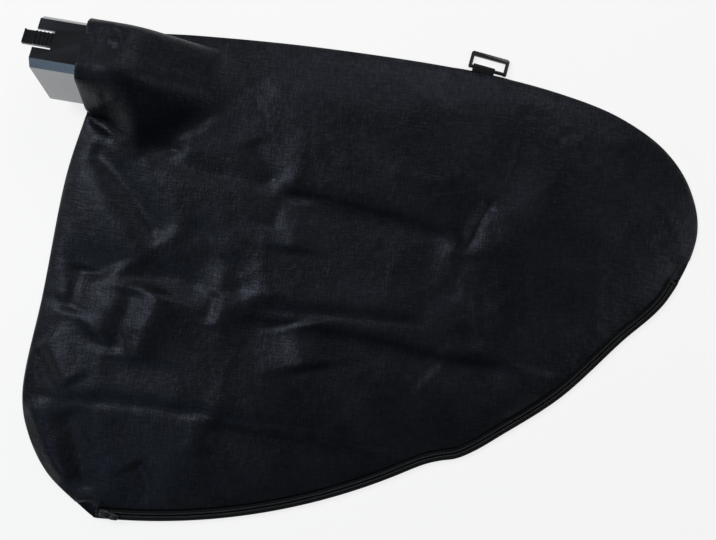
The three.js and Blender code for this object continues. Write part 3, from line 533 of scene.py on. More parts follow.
def node(tree, kind, inputs=None, **settings):
    """Adds a shader node with its settings. An input is a value or another node's output."""
    made = tree.nodes.new(kind)
    for key, value in settings.items():
        setattr(made, key, value)
    for key, value in (inputs or {}).items():
        if isinstance(value, bpy.types.NodeSocket):
            tree.links.new(value, made.inputs[key])
        else:
            made.inputs[key].default_value = value
    return made


def new_material(name, **values):
    """A material with one Principled shader, its constants set on the shader's own sockets."""
    material = bpy.data.materials.new(name)
    material.use_nodes = True
    tree = material.node_tree
    shader = tree.nodes["Principled BSDF"]
    for key, value in values.items():
        shader.inputs[key.replace("_", " ")].default_value = value
    return material, tree, shader


def colour(code):
    """Opaque colour of a hex code, for a socket."""
    return [*linear(code), 1.0]


def cells(size):
    """Scale of a noise whose cells have a size in millimetres."""
    return 1 / (size * MM)


def bands(pitch):
    """Scale of a Wave node whose bands lie a pitch in millimetres apart: 20 turns of a circle."""
    return 2 * math.pi / (20 * pitch * MM)


def cloth_material(settings):
    """Polyester cloth woven from 0.6 mm threads, coated inside: nearly black, a broad soft sheen
    where it tilts to the light, and a fine grain. The weave is drawn at 2.2 mm so that it shows."""
    material, tree, shader = new_material("coated_polyester_woven", IOR=1.5, Metallic=0.0)
    uv = node(tree, "ShaderNodeUVMap", uv_map="cloth").outputs["UV"]
    blotch = node(tree, "ShaderNodeTexNoise", {"Vector": uv, "Scale": cells(71.4), "Detail": 4.0})
    threads = []
    for stretch, direction in (((1, 0.14, 1), "X"), ((0.14, 1, 1), "Y")):
        drawn = node(tree, "ShaderNodeVectorMath", {0: uv, 1: stretch}, operation="MULTIPLY")
        streak = node(tree, "ShaderNodeTexNoise", {
            "Vector": drawn.outputs[0], "Scale": cells(1.786), "Detail": 2.0,
        })
        rib = node(tree, "ShaderNodeTexWave", {
            "Vector": uv, "Scale": bands(2.2), "Distortion": 1.5, "Detail": 1.0,
        }, bands_direction=direction)
        threads.append(node(tree, "ShaderNodeMath", {
            0: rib.outputs["Fac"], 1: 0.1, 2: streak.outputs["Fac"],
        }, operation="MULTIPLY_ADD"))
    grain = node(tree, "ShaderNodeMath", {0: threads[0].outputs[0], 1: threads[1].outputs[0]},
                 operation="MULTIPLY").outputs[0]
    patches = node(tree, "ShaderNodeMapRange", {
        "Value": blotch.outputs["Fac"], "From Min": 0.3, "From Max": 0.7,
    })
    shade = node(tree, "ShaderNodeMix", {
        0: patches.outputs["Result"], 6: [*settings.dark, 1.0], 7: [*settings.light, 1.0],
    }, data_type="RGBA")
    tree.links.new(shade.outputs[2], shader.inputs["Base Color"])
    sheen = node(tree, "ShaderNodeMapRange", {
        "Value": grain, "From Min": 0.2, "From Max": 0.6,
        "To Min": 0.5 * settings.sheen, "To Max": 1.5 * settings.sheen,
    })
    tree.links.new(sheen.outputs["Result"], shader.inputs["Specular IOR Level"])
    shader.inputs["Specular Tint"].default_value = colour("#dbe6ff")
    rough = node(tree, "ShaderNodeMapRange", {
        "Value": blotch.outputs["Fac"], "From Min": 0.3, "From Max": 0.7,
        "To Min": 0.4, "To Max": 0.52,
    })
    tree.links.new(rough.outputs["Result"], shader.inputs["Roughness"])
    wrinkle = node(tree, "ShaderNodeTexNoise", {
        "Vector": uv, "Scale": cells(12.5), "Detail": 5.0, "Roughness": 0.62,
    })
    fine = node(tree, "ShaderNodeBump", {"Height": grain, "Strength": 0.55, "Distance": 0.8 * MM})
    soft = node(tree, "ShaderNodeBump", {
        "Height": wrinkle.outputs["Fac"], "Strength": 0.4, "Distance": 2.5 * MM,
        "Normal": fine.outputs[0],
    })
    tree.links.new(soft.outputs[0], shader.inputs["Normal"])
    return material


def tape_material(name, low, high):
    """Polyester tape or webbing, woven with ribs along it: matt, with the ribs as fine lines."""
    material, tree, shader = new_material(name, IOR=1.5, Metallic=0.0, Roughness=0.85)
    shader.inputs["Specular IOR Level"].default_value = 0.25
    uv = node(tree, "ShaderNodeUVMap", uv_map="cloth").outputs["UV"]
    ribs = node(tree, "ShaderNodeTexWave", {"Vector": uv, "Scale": bands(1.1)},
                bands_direction="Y")
    picks = node(tree, "ShaderNodeTexWave", {"Vector": uv, "Scale": bands(1.5)},
                 bands_direction="DIAGONAL")
    weave = node(tree, "ShaderNodeMath", {0: ribs.outputs["Fac"], 1: picks.outputs["Fac"]},
                 operation="MULTIPLY").outputs[0]
    shade = node(tree, "ShaderNodeMix", {0: weave, 6: low, 7: high}, data_type="RGBA")
    tree.links.new(shade.outputs[2], shader.inputs["Base Color"])
    bump = node(tree, "ShaderNodeBump", {"Height": weave, "Strength": 0.5, "Distance": 0.4 * MM})
    tree.links.new(bump.outputs[0], shader.inputs["Normal"])
    return material


def plastic_material(name, low, high, rough, grain, strength):
    """Injection-moulded plastic: even black with faint flow marks and a fine moulded grain, whose
    size is given in millimetres."""
    material, tree, shader = new_material(name, IOR=1.5, Metallic=0.0)
    place = node(tree, "ShaderNodeTexCoord").outputs["Object"]
    flow = node(tree, "ShaderNodeTexNoise", {
        "Vector": place, "Scale": cells(35.7), "Detail": 3.0,
    }).outputs["Fac"]
    fine = node(tree, "ShaderNodeTexNoise", {
        "Vector": place, "Scale": cells(grain), "Detail": 2.0,
    }).outputs["Fac"]
    shade = node(tree, "ShaderNodeMix", {0: flow, 6: low, 7: high}, data_type="RGBA")
    tree.links.new(shade.outputs[2], shader.inputs["Base Color"])
    gloss = node(tree, "ShaderNodeMapRange", {
        "Value": flow, "To Min": rough - 0.05, "To Max": rough + 0.07,
    })
    tree.links.new(gloss.outputs["Result"], shader.inputs["Roughness"])
    bump = node(tree, "ShaderNodeBump", {
        "Height": fine, "Strength": strength, "Distance": 0.2 * MM,
    })
    tree.links.new(bump.outputs[0], shader.inputs["Normal"])
    return material


def enamel_material(name, low, high, rough):
    """Enamelled zinc: black gloss, worn to bare metal in small spots scattered over it."""
    material, tree, shader = new_material(name, IOR=1.5)
    place = node(tree, "ShaderNodeTexCoord").outputs["Object"]
    spots = node(tree, "ShaderNodeTexNoise", {
        "Vector": place, "Scale": cells(1.11), "Detail": 3.0,
    }).outputs["Fac"]
    worn = node(tree, "ShaderNodeMapRange", {
        "Value": spots, "From Min": 0.6, "From Max": 0.72,
    }).outputs["Result"]
    shade = node(tree, "ShaderNodeMix", {0: worn, 6: low, 7: high}, data_type="RGBA")
    tree.links.new(shade.outputs[2], shader.inputs["Base Color"])
    tree.links.new(worn, shader.inputs["Metallic"])
    gloss = node(tree, "ShaderNodeMapRange", {
        "Value": spots, "To Min": rough - 0.08, "To Max": rough + 0.1,
    })
    tree.links.new(gloss.outputs["Result"], shader.inputs["Roughness"])
    return material


def paper_material():
    """White paper sweep: it shows white to the eye and to gloss, and keeps part of the shadow."""
    material, tree, shader = new_material("white_paper", Roughness=0.9)
    shader.inputs["Base Color"].default_value = colour("#f4f4f4")
    path = node(tree, "ShaderNodeLightPath")
    seen = path.outputs["Is Camera Ray"]
    for ray in ("Is Glossy Ray", "Is Transmission Ray"):
        seen = node(tree, "ShaderNodeMath", {0: seen, 1: path.outputs[ray]},
                    operation="MAXIMUM").outputs[0]
    share = node(tree, "ShaderNodeMapRange", {"Value": seen, "To Min": 0.0, "To Max": 0.82})
    white = node(tree, "ShaderNodeEmission", {"Strength": 0.97})
    mix = node(tree, "ShaderNodeMixShader", {
        0: share.outputs["Result"], 1: shader.outputs[0], 2: white.outputs[0],
    })
    tree.links.new(mix.outputs[0], tree.nodes["Material Output"].inputs["Surface"])
    return material


# The front panel's surface


def arch_curve():
    """Cloth over the duct, seen along it: an arc of the slack's radius round each corner of the
    flange, straight between them, and a foot at each end."""
    faces = [180.0, 159.0, 114.0, 69.0, 24.0, 0.0]
    parts = [np.array([[FOOT_LOW, ARCH_FOOT]])]
    for corner, start, end in zip(FLANGE_CORNERS, faces[:-1], faces[1:]):
        turn = np.radians(np.linspace(start, end, 7))
        parts.append(corner + ARCH_REACH * np.stack([np.cos(turn), np.sin(turn)], 1))
    parts.append(np.array([[FOOT_HIGH, ARCH_FOOT]]))
    return np.vstack(parts)


ARCH = arch_curve()
TENT = np.vstack([[(ARCH_CORNERS[1][0] - out, height) for out, height in TENT_SIDE], ARCH[8:]])


def tent_height(x, y):
    """The arch stands close round the duct at the collar, opens into a tent on the zip's side
    further in, and falls beyond the duct's end. Away from the collar its edges grow rounder: the
    height is the mean over a width that grows."""
    share = smooth((x - COLLAR_X) / TENT_SPREAD)
    width = np.minimum(1.5 + TENT_ROUND * share, np.maximum(0, FOOT_HIGH - y) * 0.4)
    height = 0
    for place in TENT_SAMPLES:
        at_neck = np.interp(y + place * width, ARCH[:, 0], ARCH[:, 1])
        inside = np.interp(y + place * width, TENT[:, 0], TENT[:, 1])
        height = height + (at_neck * (1 - share) + inside * share) / len(TENT_SAMPLES)
    return height - TENT_SLOPE * eased(x - DUCT_X - DUCT_LENGTH - TENT_START, TENT_EASE)


def from_photo(picks):
    """Places picked on the enlarged photograph, in whole design millimetres: made smaller because
    the cloth lies nearer to the camera than the table does, and turned as the camera is."""
    nearness = CAMERA_HEIGHT / (CAMERA_HEIGHT - PICK_LEVEL)
    across, down = np.array(picks, float).T / PICK_ZOOM
    x = (across - PHOTO_CENTRE[0]) * PHOTO_PIXEL / nearness
    y = (PHOTO_CENTRE[1] - down) * PHOTO_PIXEL / nearness
    cos, sin = math.cos(CAMERA_TURN), math.sin(CAMERA_TURN)
    return np.round(np.stack([x * cos - y * sin, x * sin + y * cos], 1))


FOLDS = [(*form, from_photo(picks)) for *form, picks in PICKED_FOLDS]


def eased(value, width):
    """A value held at zero while it is negative, with a rounded turn of a given half width."""
    return np.where(np.abs(value) < width, (value + width) ** 2 / (4 * width), np.maximum(0, value))


def from_route(points, route):
    """Distance from each point to a route, its sign (positive on the left), and the share of the
    way along the route of the nearest place."""
    start, leg = route[:-1], np.diff(route, axis=0)
    away = points[:, None] - start[None]
    t = np.clip((away * leg).sum(2) / (leg**2).sum(1), 0, 1)
    gap = away - t[..., None] * leg
    distance = np.linalg.norm(gap, axis=2)
    best = distance.argmin(1)
    row = np.arange(len(points))
    cross = leg[best, 0] * away[row, best, 1] - leg[best, 1] * away[row, best, 0]
    return distance[row, best], np.sign(cross), (best + t[row, best]) / len(leg)


def folded(points, folds):
    """Sum of the folds: each falls away from its route as exp(-(distance / reach) ** sharpness),
    with its own reach on either side, and fades at both ends."""
    height = np.zeros(len(points))
    for rise, left, right, sharpness, route in folds:
        distance, side, share = from_route(points, spline(route, 6))
        reach = np.where(side > 0, left, right)
        ends = smooth(share / FOLD_END) * smooth((1 - share) / FOLD_END)
        # the crest is rounded over about a millimetre, as stiff cloth bends
        away = np.sqrt(distance**2 + CREST_ROUND**2) - CREST_ROUND
        height += rise * ends * np.exp(-((away / reach) ** sharpness))
    return height


def soft_noise(points, cell, seed):
    """Smooth noise from -1 to 1: random values on a lattice, eased between its corners."""
    table = np.random.default_rng(seed).uniform(-1, 1, (64, 64))
    place = points / cell
    low = np.floor(place).astype(int)
    fx, fy = smooth(place - low).T
    ax, ay = (low % 64).T
    bx, by = ((low + 1) % 64).T
    near = table[ax, ay] * (1 - fx) + table[bx, ay] * fx
    far = table[ax, by] * (1 - fx) + table[bx, by] * fx
    return near * (1 - fy) + far * fy


def crumple(points):
    """Low irregular creases: the ridges of two layers of noise, where each changes its sign."""
    turned = points @ np.array([[0.8, -0.6], [0.6, 0.8]])
    wide = 1 - np.abs(soft_noise(points, 74.0, 3))
    fine = 1 - np.abs(soft_noise(turned, 31.0, 5))
    return 1.6 * wide**2 + 0.5 * fine**2 + 0.35 * soft_noise(points, 17.0, 7)


def seen_from(points, edge, values):
    """Distance to the edge as the whole edge is felt from a point, by the inverse cube of the
    distance to each of its samples, and the mean of the samples' values with the same weights.
    Near the edge both are those of the nearest place, and further in they have no sudden turn."""
    away = np.linalg.norm(points[:, None] - edge[None], axis=2)
    weight = np.maximum(away, 0.5) ** -3
    step = np.linalg.norm(np.gradient(edge, axis=0), axis=1)
    return ((weight @ step) / 2) ** -0.5, (weight @ values) / weight.sum(1)


def front_heights(points):
    """Top of the front panel: a pillow inside the seam, folds, crumple, seam puckers, and the tent
    over the duct, joined to the flat cloth by a rounded valley."""
    steps = np.linspace(0, TOTAL, 700)
    edge = hem_point(steps)
    distance, _, share = from_route(points, edge)
    length = share * TOTAL
    soft, level = seen_from(points, edge, edge_level(steps))
    inner = smooth((distance - EDGE_BAND) / EDGE_BLEND)
    soft = distance + (soft - distance) * inner
    level = edge_level(length) * (1 - inner) + level * inner
    pillow = LOFT * (1 - np.exp(-soft / LOFT_REACH))
    free = 1 - np.exp(-distance / FOLD_FADE)
    pucker = soft_noise(np.stack([length, length * 0], 1), PUCKER_CELL, 11)
    pucker = PUCKER * pucker * np.exp(-distance / PUCKER_REACH) * smooth(distance / PRESS_REACH)
    lows = folded(points, FOLDS) * free + crumple(points) * free
    pressed = SEAM_PRESS * np.exp(-distance / PRESS_REACH)
    flat = level + CLOTH + pillow + lows - pressed + pucker
    tent = tent_height(points[:, 0], points[:, 1])
    blend = np.maximum(TENT_BLEND - np.abs(flat - tent), 0)
    height = np.maximum(flat, tent) + blend**2 / (4 * TENT_BLEND)
    on_tent = smooth((tent - flat) / TENT_BLEND)
    gather = soft_noise(points[:, ::-1] * (1, GATHER_STRETCH), GATHER_CELL, 13)
    gathers = GATHER * gather * np.exp(-(points[:, 0] - COLLAR_X) / GATHER_REACH)
    return height + (folded(points, NECK_FOLDS) + gathers) * on_tent


def front_grid():
    """Places of the front panel's points, seen from above: a patch blended between the four sides
    of its outline. Its left side climbs the seam and then the arch, in even steps of each."""
    start = edge_length(GRID_START)
    right_start, right_end = (edge_length(point) for point in GRID_RIGHT)
    rows = SEAM_ROWS + ARCH_ROWS

    def run(a, b, count):
        return hem_point(np.linspace(a, b, count + 1))

    seam = run(start, 0, SEAM_ROWS)
    shown = np.vstack([[(FOOT_LOW, 0)], ARCH[1:-1], [(FOOT_HIGH, 0)]])
    climbed = np.concatenate([[0], np.cumsum(np.linalg.norm(np.diff(shown, axis=0), axis=1))])
    y = np.interp(np.linspace(0, climbed[-1], ARCH_ROWS + 1)[1:], climbed, shown[:, 0])
    left = np.vstack([seam, np.stack([np.full(ARCH_ROWS, COLLAR_X), y], 1)])
    bottom = run(start, right_start, COLUMNS)
    right = run(right_start, right_end, rows)
    top = run(TOTAL, right_end, COLUMNS)
    u = np.linspace(0, 1, COLUMNS + 1)[None, :, None]
    v = np.linspace(0, 1, rows + 1)[:, None, None]
    grid = (
        (1 - v) * bottom[None] + v * top[None] + (1 - u) * left[:, None] + u * right[:, None]
        - (1 - u) * (1 - v) * bottom[0] - u * (1 - v) * bottom[-1]
        - (1 - u) * v * top[0] - u * v * top[-1]
    )
    return grid.reshape(-1, 2), rows + 1, COLUMNS + 1


def solidified(piece, thickness):
    """Gives a piece a wall of a thickness in metres, on the inner side of its faces."""
    wall = piece.modifiers.new("wall", "SOLIDIFY")
    wall.thickness = thickness
    wall.offset = -1
    return wall


# Settings


class BagClothSettings(bpy.types.PropertyGroup):
    """Wall and finish of the bag's cloth."""
    front_wall: bpy.props.FloatProperty(
        name="Cloth thickness",
        description="Wall of the front panel",
        default=0.9 * MM,
        min=0,
        precision=5,
        unit="LENGTH",
    )
    sheen: bpy.props.FloatProperty(
        name="Sheen",
        description="Strength of the cloth's gloss",
        default=0.25,
        min=0,
        max=1,
        subtype="FACTOR",
    )
    dark: bpy.props.FloatVectorProperty(
        name="Dark cloth",
        description="Colour of the cloth in its darker patches",
        default=linear("#090a0c"),
        min=0,
        max=1,
        subtype="COLOR",
    )
    light: bpy.props.FloatVectorProperty(
        name="Light cloth",
        description="Colour of the cloth in its lighter patches",
        default=linear("#111317"),
        min=0,
        max=1,
        subtype="COLOR",
    )


class BagZipSettings(bpy.types.PropertyGroup):
    """Sizes of the zip and its stitches."""
    pitch: bpy.props.FloatProperty(
        name="Tooth pitch",
        description="Distance between teeth of one row",
        default=1.55 * MM,
        min=0.5 * MM,
        precision=5,
        unit="LENGTH",
    )
    stitch: bpy.props.FloatProperty(
        name="Stitch length",
        description="Length of a stitch beside the zip",
        default=2.7 * MM,
        min=0,
        precision=5,
        unit="LENGTH",
    )
    stitch_pitch: bpy.props.FloatProperty(
        name="Stitch spacing",
        description="Distance between stitches",
        default=3.6 * MM,
        min=0.5 * MM,
        precision=5,
        unit="LENGTH",
    )


class BagPartSettings(bpy.types.PropertyGroup):
    """Edges and colours of the moulded parts."""
    duct_edge: bpy.props.FloatProperty(
        name="Duct edge",
        description="Radius of the duct's edges",
        default=0.45 * MM,
        min=0,
        precision=5,
        unit="LENGTH",
    )
    loop_edge: bpy.props.FloatProperty(
        name="Loop edge",
        description="Radius of the hanging loop's edges",
        default=0.6 * MM,
        min=0,
        precision=5,
        unit="LENGTH",
    )
    duct_dark: bpy.props.FloatVectorProperty(
        name="Dark duct",
        description="Colour of the duct between its flow marks",
        default=linear("#0a0b0d"),
        min=0,
        max=1,
        subtype="COLOR",
    )
    duct_light: bpy.props.FloatVectorProperty(
        name="Light duct",
        description="Colour of the duct's flow marks",
        default=linear("#0e1012"),
        min=0,
        max=1,
        subtype="COLOR",
    )


# Operators


class BAG_OT_stage(bpy.types.Operator):
    """Camera straight above the bag, pale floor and soft studio light"""
    bl_idname = "bag.stage"
    bl_label = "Stage"

    def execute(self, context):
        scene = context.scene
        scene.view_settings.view_transform = "Standard"
        camera = bpy.data.objects.new("camera", bpy.data.cameras.new("camera"))
        camera.location = (SHIFT[0] * MM, SHIFT[1] * MM, CAMERA_HEIGHT * MM)
        camera.rotation_euler = (0, 0, CAMERA_TURN)
        camera.data.lens = CAMERA_LENS
        camera.data.sensor_width = CAMERA_SENSOR
        scene.collection.objects.link(camera)
        scene.camera = camera
        for name, place, size, power, tint in LIGHTS:
            light = bpy.data.objects.new(name, bpy.data.lights.new(name, "AREA"))
            light.data.shape = "RECTANGLE"
            light.data.size, light.data.size_y = size
            light.data.energy = power
            light.data.color = linear(tint)
            light.location = place
            # each light looks at the middle of the floor
            direction = light.location.copy()
            direction.negate()
            light.rotation_euler = direction.to_track_quat("-Z", "Y").to_euler()
            scene.collection.objects.link(light)
        world = bpy.data.worlds.new("studio")
        scene.world = world
        world.use_nodes = True
        tree = world.node_tree
        back = tree.nodes["Background"]
        back.inputs["Color"].default_value = (1, 1, 1, 1)
        path = node(tree, "ShaderNodeLightPath")
        strength = node(tree, "ShaderNodeMapRange", {
            "Value": path.outputs["Is Camera Ray"], "To Min": ROOM_GLOW, "To Max": 1.0,
        })
        tree.links.new(strength.outputs["Result"], back.inputs["Strength"])
        half = FLOOR_HALF
        corners = [(-half, -half, 0), (half, -half, 0), (half, half, 0), (-half, half, 0)]
        floor = new_piece("floor", corners, [(0, 1, 2, 3)], paper_material())
        return {"FINISHED"}


class BAG_OT_front_cloth(bpy.types.Operator):
    """Front panel: creased cloth, raised over the duct, open at the collar and along the zip"""
    bl_idname = "bag.front_cloth"
    bl_label = "Front panel"

    def execute(self, context):
        settings = context.scene.bag_cloth
        places, rows, columns = front_grid()
        heights = front_heights(places)
        points = placed(np.column_stack([places, heights]))
        piece = new_piece("front_cloth", points, grid_faces(rows, columns).tolist(),
                          bpy.data.materials["coated_polyester_woven"], uv=places * MM)
        solidified(piece, settings.front_wall)
        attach(piece, "bag")
        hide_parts("front_panel")
        return {"FINISHED"}


class BAG_OT_back_cloth(bpy.types.Operator):
    """Back panel, flat on the floor, and the hem turned up along the zip"""
    bl_idname = "bag.back_cloth"
    bl_label = "Back panel"

    def execute(self, context):
        cloth = bpy.data.materials["coated_polyester_woven"]
        ring = np.linspace(0, TOTAL, BACK_SIDES, endpoint=False)
        share = np.linspace(1, 0.02, BACK_RINGS)[:, None, None]
        places = BACK_MIDDLE + (edge_point(ring) - BACK_MIDDLE)[None] * share
        places = places.reshape(-1, 2)
        drop = BACK_DROP * np.exp(-((1 - share) * BACK_HALF / BACK_DROP_REACH))
        drop = drop.repeat(BACK_SIDES, 1).ravel()
        points = placed(np.column_stack([places, CLOTH - drop]))
        faces = grid_faces(BACK_RINGS, BACK_SIDES, closed=True)[:, ::-1].tolist()
        faces.append(list(range((BACK_RINGS - 1) * BACK_SIDES, BACK_RINGS * BACK_SIDES)))
        piece = new_piece("back_cloth", points, faces, cloth, uv=places * MM)
        face_outwards(piece)
        solidified(piece, BACK_WALL * MM)
        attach(piece, "bag")
        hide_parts("back_panel")
        turn = np.radians(np.linspace(0, 360, 14, endpoint=False))
        middle, rise = HEM_HEIGHT / 2 + HEM_EASE, HEM_HEIGHT / 2 - HEM_EASE
        profile = np.stack([HEM_INSET + HEM_HALF * np.cos(turn), middle + rise * np.sin(turn)], 1)
        hem = swept("back_hem", ZIP_FROM - STOP_LENGTH, ZIP_TO + STOP_LENGTH, 4.0, profile, cloth)
        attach(hem, "bag")
        return {"FINISHED"}


class BAG_OT_zip(bpy.types.Operator):
    """Zip: two woven tapes, two rows of nylon teeth and the stops at both ends"""
    bl_idname = "bag.zip"
    bl_label = "Zip"

    def execute(self, context):
        settings = context.scene.bag_zip
        half = COIL_GAP / 2
        tape = bpy.data.materials["polyester_tape_woven"]
        nylon = bpy.data.materials["nylon_coil"]
        for name, inner, outer in [
            ("back", TAPE_INSET, ZIP_INSET - half),
            ("front", ZIP_INSET + half, ZIP_INSET + TAPE_INNER),
        ]:
            low, high, ease = TAPE_LOW + TAPE_LIFT, TAPE_HIGH, TAPE_EASE
            profile = [
                (inner, low + ease), (inner + ease, low), (outer - ease, low), (outer, low + ease),
                (outer, high - ease), (outer - ease, high), (inner + ease, high),
                (inner, high - ease),
            ]
            strip = swept(f"tape_{name}", ZIP_FROM, ZIP_TO, 3.0, profile, tape)
            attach(strip, "bag")
            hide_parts(f"zip_tape_{name}")
        pitch = settings.pitch / MM
        start = ZIP_FROM + STOP_LENGTH + STOP_GAP
        end = ZIP_TO - STOP_LENGTH - STOP_GAP
        count = int((end - start) / pitch)
        base, faces = capsule(TOOTH_RINGS, 8)
        for name, root, side, shift in [
            ("back", ZIP_INSET - half - COIL_WIDTH, 1, 0.0),
            ("front", ZIP_INSET + half + COIL_WIDTH, -1, pitch / 2),
        ]:
            lengths = start + shift + np.arange(count) * pitch
            along = lengths[:, None] + base[None, :, 1] * pitch * TOOTH_FILL
            inset = root + side * base[None, :, 0] * (COIL_WIDTH + TOOTH_GRIP) + 0 * along
            level = (COIL_LOW + COIL_HIGH) / 2 + base[None, :, 2] * (COIL_HEIGHT / 2) + 0 * along
            points = placed(np.dstack([edge_point(along, inset), level]))
            row = new_piece(f"teeth_{name}", points, repeated(len(base), faces, count), nylon)
            face_outwards(row)
            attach(row, "bag")
            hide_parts(f"zip_coil_{name}")
        metal = bpy.data.materials["zinc_enamelled"]
        for stop in ("zip_top_stop_back", "zip_top_stop_front", "zip_bottom_stop"):
            piece = moulded(stop, stop.replace("zip_", "clamped_"), metal, 0.3 * MM)
            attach(piece, "bag")
        return {"FINISHED"}


class BAG_OT_stitches(bpy.types.Operator):
    """Row of stitches through the front panel's hem, beside the zip"""
    bl_idname = "bag.stitches"
    bl_label = "Stitches"

    def execute(self, context):
        settings = context.scene.bag_zip
        start, end = ZIP_FROM + 2, ZIP_TO - 2
        pitch, stitch = settings.stitch_pitch / MM, settings.stitch / MM
        count = int((end - start) / pitch)
        base, faces = capsule(STITCH_RINGS, 6)
        lengths = start + np.arange(count) * pitch
        along = lengths[:, None] + base[None, :, 0] * stitch
        flat = hem_point(along, STITCH_INSET + base[None, :, 1] * STITCH_HALF_WIDTH)
        middle = front_heights(hem_point(lengths, STITCH_INSET))
        arch = STITCH_RISE - STITCH_DIP * (2 * base[None, :, 0]) ** 2
        level = middle[:, None] + arch + base[None, :, 2] * STITCH_HALF_HEIGHT
        row = new_piece("hem_stitches", placed(np.dstack([flat, level])),
                        repeated(len(base), faces, count), bpy.data.materials["polyester_thread"])
        face_outwards(row)
        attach(row, "bag")
        return {"FINISHED"}


class BAG_OT_slider(bpy.types.Operator):
    """Slider and pull of enamelled zinc"""
    bl_idname = "bag.slider"
    bl_label = "Slider and pull"

    def execute(self, context):
        metal = bpy.data.materials["zinc_enamelled"]
        slider = moulded("zip_slider", "slider_body", metal, 0.25 * MM)
        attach(slider, "zip_slider")
        pull = moulded("zip_pull", "slider_pull", bpy.data.materials["zinc_worn"], 0.25 * MM)
        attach(pull, "zip_pull")
        return {"FINISHED"}


class BAG_OT_duct(bpy.types.Operator):
    """Duct with its latch tongue, and the band that holds the cloth on it"""
    bl_idname = "bag.duct"
    bl_label = "Duct"

    def execute(self, context):
        edge = context.scene.bag_parts.duct_edge
        piece = moulded("duct", "duct_moulding", bpy.data.materials["abs_moulded_gloss"], edge)
        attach(piece, "bag")
        band = moulded("neck_band", "neck_strap", bpy.data.materials["nylon_strap"], 0.3 * MM)
        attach(band, "bag")
        return {"FINISHED"}


class BAG_OT_loop(bpy.types.Operator):
    """Hanging loop and the webbing tab folded round its bar"""
    bl_idname = "bag.loop"
    bl_label = "Loop and tab"

    def execute(self, context):
        edge = context.scene.bag_parts.loop_edge
        loop = moulded("hanging_loop", "loop_moulding", bpy.data.materials["acetal_moulded"], edge)
        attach(loop, "hanging_loop")
        bar_level = LOOP_BAR_RADIUS + TAB_CLEARANCE + TAB_THICKNESS + BAR_LIFT
        radius = LOOP_BAR_RADIUS + TAB_CLEARANCE + TAB_THICKNESS / 2
        lower = SEAM_LEVEL + TAB_THICKNESS / 2 - bar_level
        upper = lower + TAB_THICKNESS + LAYER_GAP
        turn = np.radians(np.linspace(-TAB_TURN, TAB_TURN, 19))
        fold = np.stack([radius * np.cos(turn), radius * np.sin(turn)], 1)
        run = np.linspace(-TAB_REACH - TAB_ROOT, TAB_BEND - TAB_REACH, 9)
        below = np.stack([run, np.full(9, lower)], 1)
        above = np.stack([run[::-1], np.full(9, upper)], 1)
        path = np.vstack([below, fold, above])
        across = np.linspace(TAB_SHIFT - TAB_WIDTH / 2, TAB_SHIFT + TAB_WIDTH / 2, 17)
        edge_gap = TAB_WIDTH / 2 - np.abs(across - TAB_SHIFT)
        edge_drop = TAB_DROP * np.exp(-edge_gap / TAB_DROP_REACH)
        tangent = np.gradient(path, axis=0)
        tangent /= np.linalg.norm(tangent, axis=1, keepdims=True)
        normal = np.stack([tangent[:, 1], -tangent[:, 0]], 1)
        # the points lie on the tab's inner side, and its wall grows outwards from there
        inwards = (TAB_SKIN - TAB_THICKNESS / 2 - edge_drop)[None, :, None]
        layer = path[:, None] + normal[:, None] * inwards
        local_x = np.broadcast_to(across, layer.shape[:2])
        local_y, local_z = layer[..., 0], layer[..., 1]
        cos, sin = math.cos(LOOP_TURN), math.sin(LOOP_TURN)
        edge_x, edge_y = edge_point(TAB_LENGTH)
        bar_x = edge_x - TAB_SHIFT * cos - TAB_REACH * sin
        bar_y = edge_y - TAB_SHIFT * sin + TAB_REACH * cos
        points = np.dstack([
            bar_x + local_x * cos - local_y * sin,
            bar_y + local_x * sin + local_y * cos,
            bar_level + local_z,
        ])
        travelled = np.concatenate([[0], np.cumsum(np.linalg.norm(np.diff(path, axis=0), axis=1))])
        uv = np.stack(np.meshgrid(travelled, across, indexing="ij"), -1).reshape(-1, 2) * MM
        tab = new_piece("loop_tab", placed(points), grid_faces(len(path), len(across)).tolist(),
                        bpy.data.materials["polyester_webbing"], uv=uv)
        wall = solidified(tab, (TAB_THICKNESS - TAB_SKIN) * MM)
        wall.use_even_offset = True
        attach(tab, "bag")
        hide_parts("webbing_tab")
        return {"FINISHED"}


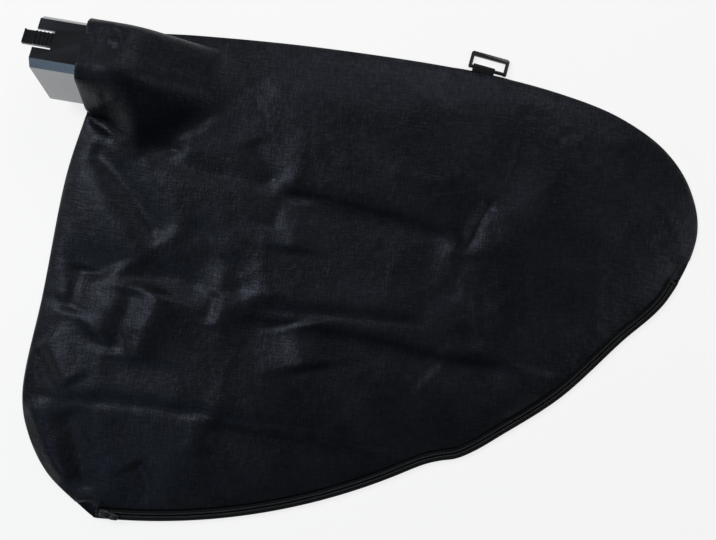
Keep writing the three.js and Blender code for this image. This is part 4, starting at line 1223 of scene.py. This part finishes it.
class BAG_OT_materials(bpy.types.Operator):
    """Materials of the cloth, tapes, plastics and metal"""
    bl_idname = "bag.materials"
    bl_label = "Materials"

    def execute(self, context):
        parts = context.scene.bag_parts
        cloth_material(context.scene.bag_cloth)
        for name, low, high in [
            ("polyester_tape_woven", "#0c0d0f", "#1d1e21"),
            ("polyester_webbing", "#0a0b0c", "#191a1d"),
            ("polyester_thread", "#111214", "#222327"),
        ]:
            tape_material(name, colour(low), colour(high))
        for name, low, high, rough, grain, strength in [
            ("nylon_coil", "#141517", "#1b1c1e", 0.38, 1.11, 0.2),
            ("nylon_strap", "#121212", "#1a1a1a", 0.6, 1.43, 0.3),
            ("acetal_moulded", "#0a0b0c", "#101112", 0.26, 1.25, 0.06),
        ]:
            plastic_material(name, colour(low), colour(high), rough, grain, strength)
        duct_plastic = plastic_material("abs_moulded_gloss", [*parts.duct_dark, 1.0],
                                        [*parts.duct_light, 1.0], 0.2, 2.0, 0.06)
        gloss = duct_plastic.node_tree.nodes["Principled BSDF"]
        gloss.inputs["Coat Weight"].default_value = 1.0
        gloss.inputs["Coat Roughness"].default_value = 0.12
        gloss.inputs["Specular Tint"].default_value = colour("#dfeaff")
        enamel_material("zinc_enamelled", colour("#131415"), colour("#5a5b5e"), 0.34)
        enamel_material("zinc_worn", colour("#1c1d1f"), colour("#a8a9ab"), 0.3)
        return {"FINISHED"}


class BAG_PT_panel(bpy.types.Panel):
    """Lists the bag's settings and pieces"""
    bl_idname = "BAG_PT_panel"
    bl_label = "Collection bag"
    bl_space_type = "VIEW_3D"
    bl_region_type = "UI"
    bl_category = "Bag"

    def draw(self, context):
        scene = context.scene
        for group in (scene.bag_cloth, scene.bag_zip, scene.bag_parts):
            for key in group.__annotations__:
                self.layout.prop(group, key)
        for operator in STEPS:
            self.layout.operator(operator.bl_idname)


STEPS = (BAG_OT_materials, BAG_OT_stage, BAG_OT_zip, BAG_OT_stitches, BAG_OT_back_cloth,
         BAG_OT_front_cloth, BAG_OT_slider, BAG_OT_duct, BAG_OT_loop)
CLASSES = (BagClothSettings, BagZipSettings, BagPartSettings, *STEPS, BAG_PT_panel)


def register():
    for item in CLASSES:
        bpy.utils.register_class(item)
    bpy.types.Scene.bag_cloth = bpy.props.PointerProperty(type=BagClothSettings)
    bpy.types.Scene.bag_zip = bpy.props.PointerProperty(type=BagZipSettings)
    bpy.types.Scene.bag_parts = bpy.props.PointerProperty(type=BagPartSettings)


def unregister():
    del bpy.types.Scene.bag_parts
    del bpy.types.Scene.bag_zip
    del bpy.types.Scene.bag_cloth
    for item in reversed(CLASSES):
        bpy.utils.unregister_class(item)


def main():
    register()
    bpy.ops.bag.materials()
    bpy.ops.bag.stage()
    bpy.ops.bag.zip()
    bpy.ops.bag.stitches()
    bpy.ops.bag.back_cloth()
    bpy.ops.bag.front_cloth()
    bpy.ops.bag.slider()
    bpy.ops.bag.duct()
    bpy.ops.bag.loop()


if __name__ == "__main__":
    main()
